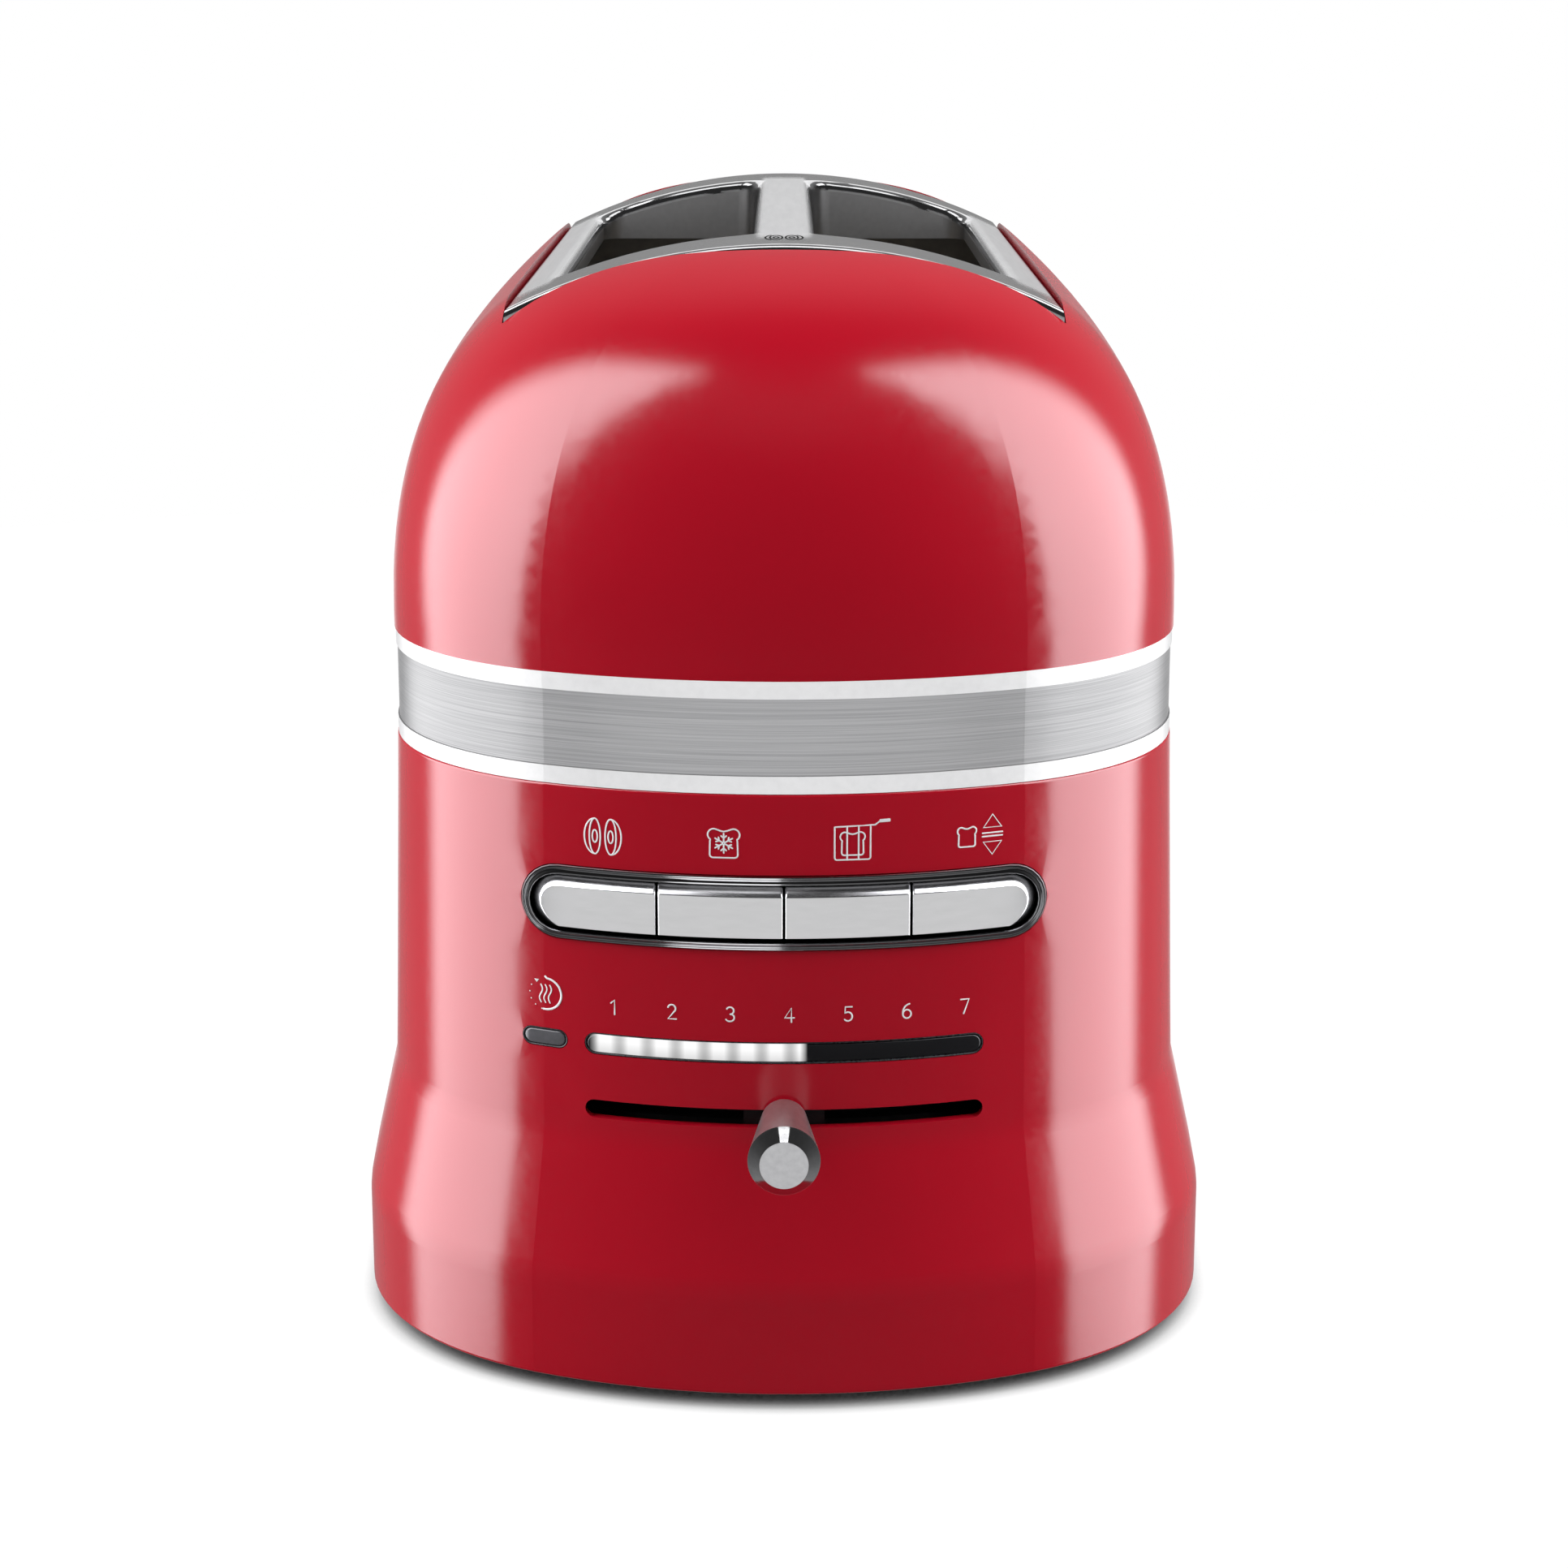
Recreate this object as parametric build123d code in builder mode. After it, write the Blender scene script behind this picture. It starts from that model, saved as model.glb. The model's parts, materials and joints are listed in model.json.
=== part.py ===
from build123d import *
import math
import os

# Pop-up toaster with two long bread slots, a motor lift and a sliding shade control, in millimetres.
# +Z is up and the control panel faces -Y. The origin is on the table, under the middle of the whole
# toaster with its knob and tray handle, so the middle of the body itself stands at BODY_Y.

# Plan outline of the body at the trim band: end, corner and side arcs, each tangent to the next
SHOULDER_WIDTH = 26.0
END_RADIUS = 107.6
CORNER_RADIUS = 53.6
SIDE_RADIUS = 1500.0

# Heights of the body's levels, stacked from the table upwards
FOOT_HEIGHT = 3.0
SKIRT_HEIGHT = 20.5
FLARE_HEIGHT = 26.5
PANEL_HEIGHT = 66.3
BAND_HEIGHT = 20.8
RIM_HEIGHT = 4.6
DOME_RISE = 68.7

# How far each level stands out from the outline above
SKIRT_OUT = 8.2
WAIST_OUT = 2.2
SHOULDER_OUT = 0.15
DOME_OUT = 0.25

# Shells
SHELL_WALL = 2.0
SHELL_LEDGE = 10.0
FLARE_ROUND = 18.0
EDGE_ROUND = 0.6
BAND_WALL = 3.0
BAND_RIM = 3.3
BAND_GROOVE = 0.25

# Dome: fullness of its arch from side to side, roundness towards the crown, depth of its round ends
DOME_FULLNESS = 3.114
DOME_ROUNDNESS = 2.07
DOME_END_DEPTH = 53.6
# Powers by which its end and corner arcs tighten, and its side arcs straighten, towards the crown
DOME_END_POWER = 0.6
DOME_CORNER_POWER = 1.0
DOME_SIDE_POWER = 3.0
DOME_STEP = 12.0
DOME_LAST = 84.0

# Top frame and its two bread slots
SLOT_WIDTH = 37.4
SLOT_LENGTH = 158.0
SLOT_CORNER = 5.0
CENTRE_BAR = 12.0
SIDE_STRIP = 9.2
END_STRIP = 26.0
FRAME_RADIUS = 119.0
FRAME_PROUD = 0.1
FRAME_WALL = 2.0
FRAME_LIP = 8.0
FRAME_GAP = 0.3
COLLAR_DEPTH = 14.0
COLLAR_ROUND = 2.2
FRAME_EDGE_ROUND = 1.6

# Control panel, heights above the waist where the panel begins
BUTTON_LEVEL = 44.2
BEZEL_LENGTH = 97.2
BEZEL_HEIGHT = 14.2
BEZEL_RIM = 1.8
BEZEL_PROUD = 1.0
BEZEL_DEPTH = 7.0
BUTTON_COUNT = 4
BUTTON_GAP = 0.4
BUTTON_DEPTH = 8.0
BUTTON_PROUD = 0.9
BUTTON_BEVEL = 1.7
BUTTON_TRAVEL = 2.0
BUTTON_STEM_RADIUS = 1.8
LAMP_LEVEL = 17.8
LAMP_LENGTH = 73.8
LAMP_HEIGHT = 4.2
LAMP_DEPTH = 4.0
LAMP_PROUD = 0.3
KEEP_WARM_X = -44.4
KEEP_WARM_LENGTH = 8.7
KEEP_WARM_HEIGHT = 3.7
SHADE_LEVEL = 5.2
SHADE_SLOT_LENGTH = 73.8
SHADE_SLOT_HEIGHT = 3.5
PANEL_FIT = 0.1

# Shade knob, carrier and track
KNOB_STAND = 1.0
KNOB_NECK_RADIUS = 4.25
KNOB_RADIUS = 6.5
KNOB_FACE_RADIUS = 4.35
KNOB_REACH = 24.0
KNOB_BEVEL = 2.5
KNOB_STEM_RADIUS = 1.3
CARRIER_DEPTH = 3.4
CARRIER_HEIGHT = 10.0
CARRIER_HALF_ANGLE = 4.0
TONGUE_HEIGHT = 3.8
TONGUE_DEPTH = 3.9
TRACK_HALF_ANGLE = 23.5
TRACK_HEIGHT = 10.4

# Clearance between pieces that move past each other, and the close fit of a pin or shaft
CLEARANCE = 0.4
RUNNING_FIT = 0.08
SEAT_GAP = 0.2

# Control board and what stands on it
BOARD_WALL = 1.6
BOARD_SETBACK = 22.6
BOARD_SPARE = 3.4
BOARD_HALF_WIDTH = 46.0
BOARD_BELOW_WAIST = 6.0
BOARD_ABOVE_WAIST = 62.0
BOSS_RADIUS = 2.5
BOSS_X = 18.0
BOSS_LEVEL = 58.0
BOSS_BITE = 1.2
BUTTON_STEM_BITE = 2.0
SWITCH_SIZE = 6.0
SWITCH_DEPTH = 5.0
POST_X = 30.0
POST_WIDTH = 8.0
POST_DEPTH = 6.0

# Base plate, feet and screws
BASE_WALL = 3.0
BASE_FIT = 0.3
FOOT_RADIUS = 9.0
FOOT_SIDE_INSET = 20.6
FOOT_END_INSET = 45.6
SCREW_RADIUS = 1.6
SCREW_HEAD_RADIUS = 3.2
SCREW_HEAD_HEIGHT = 1.6
SCREW_GRIP = 4.5
SCREW_FIT = 0.1

# Crumb tray
TRAY_HEIGHT = 9.0
TRAY_WALL = 0.8
TRAY_LIFT = 0.4
RAIL_WIDTH = 2.0
RAIL_HEIGHT = 6.0
RAIL_INSET = 1.6
HANDLE_HALF_LENGTH = 22.0
HANDLE_PROUD = 4.0
HANDLE_HEIGHT = 3.0

# Oven: two bulkheads, two reflectors and three element boards
SHEET = 1.2
OVEN_SPARE = 9.8
OVEN_FOOT_SPREAD = 13.0
OVEN_FOOT_HEIGHT = 34.0
OVEN_FOOT_DEPTH = 10.0
REFLECTOR_WALL = 0.8
REFLECTOR_INSET = 0.5
REFLECTOR_BOTTOM = 30.0
ELEMENT_WALL = 1.5
ELEMENT_BOTTOM = 58.0
ELEMENT_TOP = 172.0
ELEMENT_STAND = 1.65
RIBBON_COUNT = 8
RIBBON_WIDTH = 2.0
RIBBON_WALL = 0.3
RIBBON_MARGIN = 10.0

# Bread guides, hinged on their lowest wire
GUIDE_SET = 0.7
GUIDE_WIRE = 0.8
GUIDE_BAR_WIRE = 0.7
GUIDE_BOTTOM = 50.0
GUIDE_TOP = 165.0
GUIDE_BARS = 8
GUIDE_END_SPARE = 6.0
PIN_REACH = 1.6

# Bread lift
LIFT_TRAVEL = 70.0
RACK_TOP = 124.0
RACK_HALF_WIDTH = 6.0
RACK_WALL = 1.5
RACK_END_SPARE = 5.0
RACK_HOLES = 8
RACK_HOLE_RADIUS = 3.0
ARM_HALF_WIDTH = 3.0
ARM_HEIGHT = 6.0
CARRIAGE_SETBACK = 6.0
CARRIAGE_WALL = 2.0
CARRIAGE_HEIGHT = 24.0
CARRIAGE_BELOW = 16.0
ROD_RADIUS = 2.0
ROD_X = 38.0
SLEEVE_RADIUS = 4.5
TAB_WALL = 1.2
TAB_HALF_WIDTH = 5.0
TAB_SPARE = 9.0

# Toothed rack, pinion, gearbox and motor
GEAR_MODULE = 1.5
PINION_TEETH = 16
GEAR_BACKLASH = 0.5
GEAR_ADDENDUM = 1.2
GEAR_DEDENDUM = 2.0
PRESSURE_ANGLE = 20.0
PINION_X = -11.0
PINION_BELOW = 24.0
PINION_WIDTH = 5.5
TOOTHED_WIDTH = 7.0
TOOTHED_BACK = 5.0
TOOTHED_SPARE = 12.0
SHAFT_RADIUS = 2.5
SHAFT_REACH = 5.0
GEARBOX_DEPTH = 10.0
GEARBOX_WIDTH = 34.0
GEARBOX_HEIGHT = 40.0
MOTOR_RADIUS = 10.0
MOTOR_LENGTH = 40.0
BRACKET_WALL = 1.6
BRACKET_HEIGHT = 32.0
BRACKET_INSET = 0.4
BRACKET_GAP = 1.4
LIMIT_WIDTH = 12.0
LIMIT_HEIGHT = 8.0
LIMIT_X = -22.0

# Power board at the rear, and the cord's gland
POWER_STAND = 10.0
POWER_HALF_WIDTH = 44.0
POWER_BOTTOM = 42.0
POWER_TOP = 112.0
STAND_RADIUS = 3.0
STAND_X = 32.0
STAND_INSET = 6.0
TRANSFORMER = (30.0, 24.0, 32.0)
TRANSFORMER_AT = (-22.0, 66.0)
RELAY = (20.0, 16.0, 20.0)
RELAY_AT = (20.0, 64.0)
TERMINALS = (32.0, 11.0, 12.0)
TERMINALS_AT = (8.0, 92.0)
GLAND_LEVEL = 12.0
GLAND_FLANGE_RADIUS = 9.0
GLAND_NECK_RADIUS = 6.0
GLAND_BORE_RADIUS = 3.4
GLAND_FLANGE = 3.0

# Levels worked out from the heights
SKIRT_TOP = FOOT_HEIGHT + SKIRT_HEIGHT
WAIST = SKIRT_TOP + FLARE_HEIGHT
SHOULDER = WAIST + PANEL_HEIGHT
BAND_TOP = SHOULDER + BAND_HEIGHT
DOME_SPRING = BAND_TOP + RIM_HEIGHT
DOME_CROWN = DOME_SPRING + DOME_RISE
FRAME_CROWN = DOME_CROWN + FRAME_PROUD
BASE_TOP = FOOT_HEIGHT + BASE_WALL

# Plan sizes worked out from the slots outwards
SLOT_X = (CENTRE_BAR + SLOT_WIDTH) / 2
FRAME_HALF_WIDTH = CENTRE_BAR / 2 + SLOT_WIDTH + SIDE_STRIP
FRAME_HALF_LENGTH = SLOT_LENGTH / 2 + END_STRIP
FRAME_CENTRE = FRAME_CROWN - FRAME_RADIUS
FRAME_EDGE = FRAME_CENTRE + math.sqrt(FRAME_RADIUS**2 - FRAME_HALF_WIDTH**2)
HALF_WIDTH = FRAME_HALF_WIDTH + SHOULDER_WIDTH
OVEN_HALF = SLOT_LENGTH / 2 + OVEN_SPARE
GUIDE_INNER_X = CENTRE_BAR / 2 + GUIDE_SET
GUIDE_OUTER_X = CENTRE_BAR / 2 + SLOT_WIDTH - GUIDE_SET
OVEN_HALF_WIDTH = FRAME_HALF_WIDTH - FRAME_WALL - SEAT_GAP
REFLECTOR_X = OVEN_HALF_WIDTH - REFLECTOR_INSET - REFLECTOR_WALL
REFLECTOR_TOP = FRAME_EDGE - FRAME_LIP - SEAT_GAP
ELEMENT_OUTER_X = REFLECTOR_X - ELEMENT_STAND - ELEMENT_WALL / 2
BRACKET_HALF_WIDTH = OVEN_HALF_WIDTH - BRACKET_INSET
BULKHEAD_FRONT = OVEN_HALF + SHEET

# Depths in front of the oven, from the lift's carriage out to the control board and the panel
CARRIAGE_Y = -(BULKHEAD_FRONT + CARRIAGE_SETBACK)
ROD_Y = CARRIAGE_Y - CARRIAGE_WALL / 2
PLATE_FRONT = CARRIAGE_Y - CARRIAGE_WALL
BRACKET_Y = PLATE_FRONT - TOOTHED_WIDTH - BRACKET_GAP
GEARBOX_Y = BRACKET_Y - BRACKET_WALL
MOTOR_Y = GEARBOX_Y - GEARBOX_DEPTH / 2
BOARD_Y = MOTOR_Y - MOTOR_RADIUS - BOARD_SPARE - BOARD_WALL
HALF_LENGTH = BOARD_SETBACK - BOARD_Y
DOME_RIDGE = HALF_LENGTH - DOME_END_DEPTH
FOOT_X = HALF_WIDTH - FOOT_SIDE_INSET
FOOT_Y = HALF_LENGTH - FOOT_END_INSET


def wall_out(z):
    """How far the drafted panel stands out from the trim band at a height."""
    return WAIST_OUT + (SHOULDER_OUT - WAIST_OUT) * (z - WAIST) / PANEL_HEIGHT


# The panel's own axis, upright through the middle of its front arc
PANEL_AXIS_Y = END_RADIUS - HALF_LENGTH
BUTTON_Z = WAIST + BUTTON_LEVEL
LAMP_Z = WAIST + LAMP_LEVEL
SHADE_Z = WAIST + SHADE_LEVEL
SHADE_RADIUS = END_RADIUS + wall_out(SHADE_Z)
KNOB_TIP_Y = PANEL_AXIS_Y - SHADE_RADIUS - KNOB_REACH
HANDLE_TIP_Y = HALF_LENGTH + SKIRT_OUT + HANDLE_PROUD
BODY_Y = -(KNOB_TIP_Y + HANDLE_TIP_Y) / 2
PITCH_RADIUS = GEAR_MODULE * PINION_TEETH / 2
TOOTH_PITCH = math.pi * GEAR_MODULE
CARRIAGE_BOTTOM = RACK_TOP - CARRIAGE_BELOW
CARRIAGE_TOP = CARRIAGE_BOTTOM + CARRIAGE_HEIGHT
PINION_LEVEL = RACK_TOP - PINION_BELOW
ROD_BOTTOM = CARRIAGE_BOTTOM - LIFT_TRAVEL - TAB_SPARE
ROD_TOP = CARRIAGE_TOP + TAB_SPARE
BUTTON_LENGTH = BEZEL_LENGTH - 2 * BEZEL_RIM - 2 * CLEARANCE
BUTTON_HEIGHT = BEZEL_HEIGHT - 2 * BEZEL_RIM - 2 * CLEARANCE
BUTTON_PITCH = BUTTON_LENGTH / BUTTON_COUNT
BUTTON_STEM_END = BOARD_Y - SWITCH_DEPTH - BUTTON_TRAVEL - CLEARANCE
BUTTON_XS = [(place - (BUTTON_COUNT - 1) / 2) * BUTTON_PITCH for place in range(BUTTON_COUNT)]
CARRIER_OUTER = SHADE_RADIUS - SHELL_WALL - CLEARANCE
CARRIER_INNER = CARRIER_OUTER - CARRIER_DEPTH
TONGUE_INNER = CARRIER_INNER - TONGUE_DEPTH
TRACK_OUTER = CARRIER_INNER - CLEARANCE
SCREW_OUT = SKIRT_OUT - SHELL_WALL - SHELL_LEDGE / 2
OVEN_FOOT_X = OVEN_HALF_WIDTH + OVEN_FOOT_SPREAD
OVEN_SCREW_X = OVEN_HALF_WIDTH + OVEN_FOOT_SPREAD / 2
OVEN_SCREW_Y = OVEN_HALF - OVEN_FOOT_DEPTH / 2
TRAY_BOTTOM = BASE_TOP + TRAY_LIFT
TRAY_TOP = TRAY_BOTTOM + TRAY_HEIGHT
TRAY_WINDOW_X = OVEN_HALF_WIDTH - RAIL_INSET - RAIL_WIDTH
TRAY_HALF_WIDTH = TRAY_WINDOW_X - 2 * CLEARANCE
TRAY_WINDOW_TOP = TRAY_TOP + 2 * CLEARANCE
SKIRT_RADIUS = END_RADIUS + SKIRT_OUT
TRAY_REAR = math.sqrt((SKIRT_RADIUS - SHELL_WALL) ** 2 - TRAY_HALF_WIDTH**2) - PANEL_AXIS_Y - CLEARANCE
POWER_Y = BULKHEAD_FRONT + POWER_STAND
GLAND_Z = WAIST + GLAND_LEVEL


FRONT_AXIS = Axis((0, BODY_Y + PANEL_AXIS_Y, 0), (0, 0, 1))
FAR = HALF_LENGTH


def level(z):
    """Level plane at a height, over the middle of the body."""
    return Plane((0, BODY_Y, z))


def facing(y):
    """Upright plane across the body that faces the front, drawn in X and Z."""
    return Plane((0, BODY_Y + y, 0), x_dir=(1, 0, 0), z_dir=(0, -1, 0))


def side():
    """Upright plane along the body's middle, drawn in Y, measured outwards to the front, and Z."""
    return Plane((0, BODY_Y, 0), x_dir=(0, -1, 0), z_dir=(-1, 0, 0))


def block(x, y, z, mode=Mode.ADD):
    """Box between two limits along each axis."""
    with Locations((sum(x) / 2, BODY_Y + sum(y) / 2, sum(z) / 2)):
        Box(abs(x[1] - x[0]), abs(y[1] - y[0]), abs(z[1] - z[0]), mode=mode)


def post(x, y, z, radius, mode=Mode.ADD):
    """Upright cylinder between two heights."""
    with Locations((x, BODY_Y + y, sum(z) / 2)):
        Cylinder(radius, abs(z[1] - z[0]), mode=mode)


def spindle(x, z, y, radius, mode=Mode.ADD):
    """Level cylinder along the body between two depths."""
    with Locations((x, BODY_Y + sum(y) / 2, z)):
        Cylinder(radius, abs(y[1] - y[0]), rotation=(90, 0, 0), mode=mode)


def corner_arc(half_width, half_length, end, corner, side_radius):
    """First, middle and last point of the front right corner's arc, tangent to its neighbours."""
    end_y = end - half_length
    side_x = half_width - side_radius
    gap = math.hypot(side_x, end_y)
    to_end = end - corner
    to_side = side_radius - corner
    along = (to_end**2 - to_side**2 + gap**2) / (2 * gap)
    across = math.sqrt(to_end**2 - along**2)
    centre_x = (side_x * along + end_y * across) / gap
    centre_y = end_y - (end_y * along - side_x * across) / gap
    first = math.atan2(centre_y - end_y, centre_x)
    last = math.atan2(centre_y, centre_x - side_x)
    points = []
    for angle in (first, (first + last) / 2, last):
        points.append((centre_x + corner * math.cos(angle), centre_y + corner * math.sin(angle)))
    return points


def outline_wire(sizes, z):
    """Closed body outline at a height, as eight tangent arcs."""
    half_width, half_length = sizes[0], sizes[1]
    (x1, y1), (xm, ym), (x2, y2) = corner_arc(*sizes)
    with BuildLine(level(z)) as outline:
        ThreePointArc((-x1, y1), (0, -half_length), (x1, y1))
        ThreePointArc((x1, y1), (xm, ym), (x2, y2))
        ThreePointArc((x2, y2), (half_width, 0), (x2, -y2))
        ThreePointArc((x2, -y2), (xm, -ym), (x1, -y1))
        ThreePointArc((x1, -y1), (0, half_length), (-x1, -y1))
        ThreePointArc((-x1, -y1), (-xm, -ym), (-x2, -y2))
        ThreePointArc((-x2, -y2), (-half_width, 0), (-x2, y2))
        ThreePointArc((-x2, y2), (-xm, ym), (-x1, y1))
    return outline.wire()


def body_sizes(out):
    """The outline's five sizes, grown outwards by the same amount all round."""
    return [size + out for size in (HALF_WIDTH, HALF_LENGTH, END_RADIUS, CORNER_RADIUS, SIDE_RADIUS)]


def dome_section(angle, wall):
    """Face of the dome's level section, with the dome thinned by a wall."""
    rise = math.sin(math.radians(angle))
    share = (1 - rise**DOME_ROUNDNESS) ** (1 / DOME_FULLNESS)
    swell = DOME_OUT - wall
    half_length = DOME_RIDGE + (HALF_LENGTH + swell - DOME_RIDGE) * math.cos(math.radians(angle))
    end = (END_RADIUS + swell) * share**DOME_END_POWER
    corner = (CORNER_RADIUS + swell) * share**DOME_CORNER_POWER
    sizes = [(HALF_WIDTH + swell) * share, half_length, end, corner, SIDE_RADIUS / share**DOME_SIDE_POWER]
    return Face(outline_wire(sizes, DOME_SPRING + (DOME_RISE - wall) * rise))


def dome_sections(wall):
    """Faces to loft the dome through, from the band up."""
    rim = Face(outline_wire(body_sizes(DOME_OUT - wall)[:4] + [SIDE_RADIUS], BAND_TOP))
    count = round(DOME_LAST / DOME_STEP)
    return [rim] + [dome_section(step * DOME_STEP, wall) for step in range(count + 1)]


def wall_ring(inner, outer, low, high):
    """Section of the drafted wall between two depths and two heights, to turn about the panel's axis."""
    with BuildSketch(side()) as section:
        with BuildLine():
            Polyline(
                (-PANEL_AXIS_Y + END_RADIUS + wall_out(low) + inner, low),
                (-PANEL_AXIS_Y + END_RADIUS + wall_out(low) + outer, low),
                (-PANEL_AXIS_Y + END_RADIUS + wall_out(high) + outer, high),
                (-PANEL_AXIS_Y + END_RADIUS + wall_out(high) + inner, high),
                close=True,
            )
        make_face()
    return section.sketch


def ring_section(inner, outer, low, high):
    """Upright rectangle at a distance from the panel's axis."""
    with BuildSketch(side()) as section:
        with Locations(((inner + outer) / 2 - PANEL_AXIS_Y, (low + high) / 2)):
            Rectangle(outer - inner, high - low)
    return section.sketch


def fan(section, half_angle, mode=Mode.ADD):
    """Section turned about the panel's axis, the same angle to either side."""
    turned = section.rotate(FRONT_AXIS, -half_angle)
    revolve(turned, axis=FRONT_AXIS, revolution_arc=2 * half_angle, mode=mode)


def ledge_screws():
    """Plan places of the screws that hold the base plate to the shell's ledge."""
    x, y = corner_arc(*body_sizes(SCREW_OUT))[1]
    side_x = HALF_WIDTH + SCREW_OUT
    return [(side_x, 0), (-side_x, 0), (x, y), (-x, y), (x, -y), (-x, -y)]


def oven_screws():
    """Plan places of the screws that hold the base plate to the oven's feet."""
    return [(right * OVEN_SCREW_X, rear * OVEN_SCREW_Y) for right in (-1, 1) for rear in (-1, 1)]


def tooth_half_angle(radius):
    """Half the angle of a pinion tooth at a radius, in radians, from its involute flanks."""
    pressure = math.radians(PRESSURE_ANGLE)
    base = PITCH_RADIUS * math.cos(pressure)
    here = math.acos(min(1.0, base / radius))
    flank = math.tan(pressure) - pressure - (math.tan(here) - here)
    return (TOOTH_PITCH / 2 - GEAR_BACKLASH) / (2 * PITCH_RADIUS) + flank


def stadium(x, z, length, height):
    """Oblong with round ends on the upright plane through the panel's axis."""
    with BuildSketch(facing(PANEL_AXIS_Y)) as shape:
        with Locations((x, z)):
            SlotOverall(length, height)
    return shape.sketch


os.makedirs("parts", exist_ok=True)

# Lower shell: one wall swept round the outline, with a ledge below and a flange above
with BuildPart() as lower_shell:
    with BuildSketch(side()):
        with BuildLine():
            FilletPolyline(
                (HALF_LENGTH + SKIRT_OUT - SHELL_WALL, FOOT_HEIGHT),
                (HALF_LENGTH + SKIRT_OUT, FOOT_HEIGHT),
                (HALF_LENGTH + SKIRT_OUT, SKIRT_TOP),
                (HALF_LENGTH + WAIST_OUT, WAIST),
                (HALF_LENGTH + SHOULDER_OUT, SHOULDER),
                (HALF_LENGTH - SHELL_LEDGE, SHOULDER),
                radius=[EDGE_ROUND, FLARE_ROUND, FLARE_ROUND, EDGE_ROUND],
            )
            Polyline(
                (HALF_LENGTH - SHELL_LEDGE, SHOULDER),
                (HALF_LENGTH - SHELL_LEDGE, SHOULDER - SHELL_WALL),
                (HALF_LENGTH + SHOULDER_OUT - SHELL_WALL, SHOULDER - SHELL_WALL),
            )
            FilletPolyline(
                (HALF_LENGTH + SHOULDER_OUT - SHELL_WALL, SHOULDER - SHELL_WALL),
                (HALF_LENGTH + WAIST_OUT - SHELL_WALL, WAIST),
                (HALF_LENGTH + SKIRT_OUT - SHELL_WALL, SKIRT_TOP),
                (HALF_LENGTH + SKIRT_OUT - SHELL_WALL, BASE_TOP + SHELL_WALL),
                radius=FLARE_ROUND,
            )
            Polyline(
                (HALF_LENGTH + SKIRT_OUT - SHELL_WALL, BASE_TOP + SHELL_WALL),
                (HALF_LENGTH + SKIRT_OUT - SHELL_WALL - SHELL_LEDGE, BASE_TOP + SHELL_WALL),
                (HALF_LENGTH + SKIRT_OUT - SHELL_WALL - SHELL_LEDGE, BASE_TOP),
                (HALF_LENGTH + SKIRT_OUT - SHELL_WALL, BASE_TOP),
                (HALF_LENGTH + SKIRT_OUT - SHELL_WALL, FOOT_HEIGHT),
            )
        make_face()
    sweep(path=outline_wire(body_sizes(0), 0))
    boss_z = WAIST + BOSS_LEVEL
    boss_reach = END_RADIUS + wall_out(boss_z) - SHELL_WALL + BOSS_BITE
    boss_end = PANEL_AXIS_Y - math.sqrt(boss_reach**2 - BOSS_X**2)
    for boss_x in (-BOSS_X, BOSS_X):
        spindle(boss_x, boss_z, (boss_end, BOARD_Y), BOSS_RADIUS)
    extrude(stadium(0, BUTTON_Z, BEZEL_LENGTH, BEZEL_HEIGHT), amount=FAR, mode=Mode.SUBTRACT)
    extrude(stadium(0, LAMP_Z, LAMP_LENGTH, LAMP_HEIGHT), amount=FAR, mode=Mode.SUBTRACT)
    keep_warm_hole = stadium(KEEP_WARM_X, LAMP_Z, KEEP_WARM_LENGTH, KEEP_WARM_HEIGHT)
    extrude(keep_warm_hole, amount=FAR, mode=Mode.SUBTRACT)
    extrude(stadium(0, SHADE_Z, SHADE_SLOT_LENGTH, SHADE_SLOT_HEIGHT), amount=FAR, mode=Mode.SUBTRACT)
    tray_window = ((-TRAY_WINDOW_X, TRAY_WINDOW_X), (OVEN_HALF, 2 * FAR), (BASE_TOP, TRAY_WINDOW_TOP))
    block(*tray_window, Mode.SUBTRACT)
    spindle(0, GLAND_Z, (OVEN_HALF, 2 * FAR), GLAND_NECK_RADIUS + PANEL_FIT, Mode.SUBTRACT)
    for x, y in ledge_screws():
        post(x, y, (BASE_TOP, BASE_TOP + SHELL_WALL), SCREW_RADIUS + SCREW_FIT, Mode.SUBTRACT)
lower_shell.part.label = "lower_shell"
export_step(lower_shell.part, "parts/lower_shell.step")

# Trim band: a ring on the lower shell's flange, with a rim above and below its brushed face
with BuildPart() as trim_band:
    with BuildSketch(side()):
        with BuildLine():
            Polyline(
                (HALF_LENGTH - BAND_WALL, SHOULDER),
                (HALF_LENGTH, SHOULDER),
                (HALF_LENGTH, SHOULDER + BAND_RIM),
                (HALF_LENGTH - BAND_GROOVE, SHOULDER + BAND_RIM),
                (HALF_LENGTH - BAND_GROOVE, BAND_TOP - BAND_RIM),
                (HALF_LENGTH, BAND_TOP - BAND_RIM),
                (HALF_LENGTH, BAND_TOP),
                (HALF_LENGTH - BAND_WALL, BAND_TOP),
                close=True,
            )
        make_face()
    sweep(path=outline_wire(body_sizes(0), 0))
trim_band.part.label = "trim_band"
export_step(trim_band.part, "parts/trim_band.step")

# Upper shell: a dome lofted through level sections, hollow, and open for the top frame
with BuildPart() as upper_shell:
    loft(dome_sections(0))
    loft(dome_sections(SHELL_WALL), mode=Mode.SUBTRACT)
    with BuildSketch(level(BAND_TOP)):
        Rectangle(2 * (FRAME_HALF_WIDTH + FRAME_GAP), 2 * (FRAME_HALF_LENGTH + FRAME_GAP))
    extrude(amount=DOME_CROWN, mode=Mode.SUBTRACT)
upper_shell.part.label = "upper_shell"
export_step(upper_shell.part, "parts/upper_shell.step")

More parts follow.
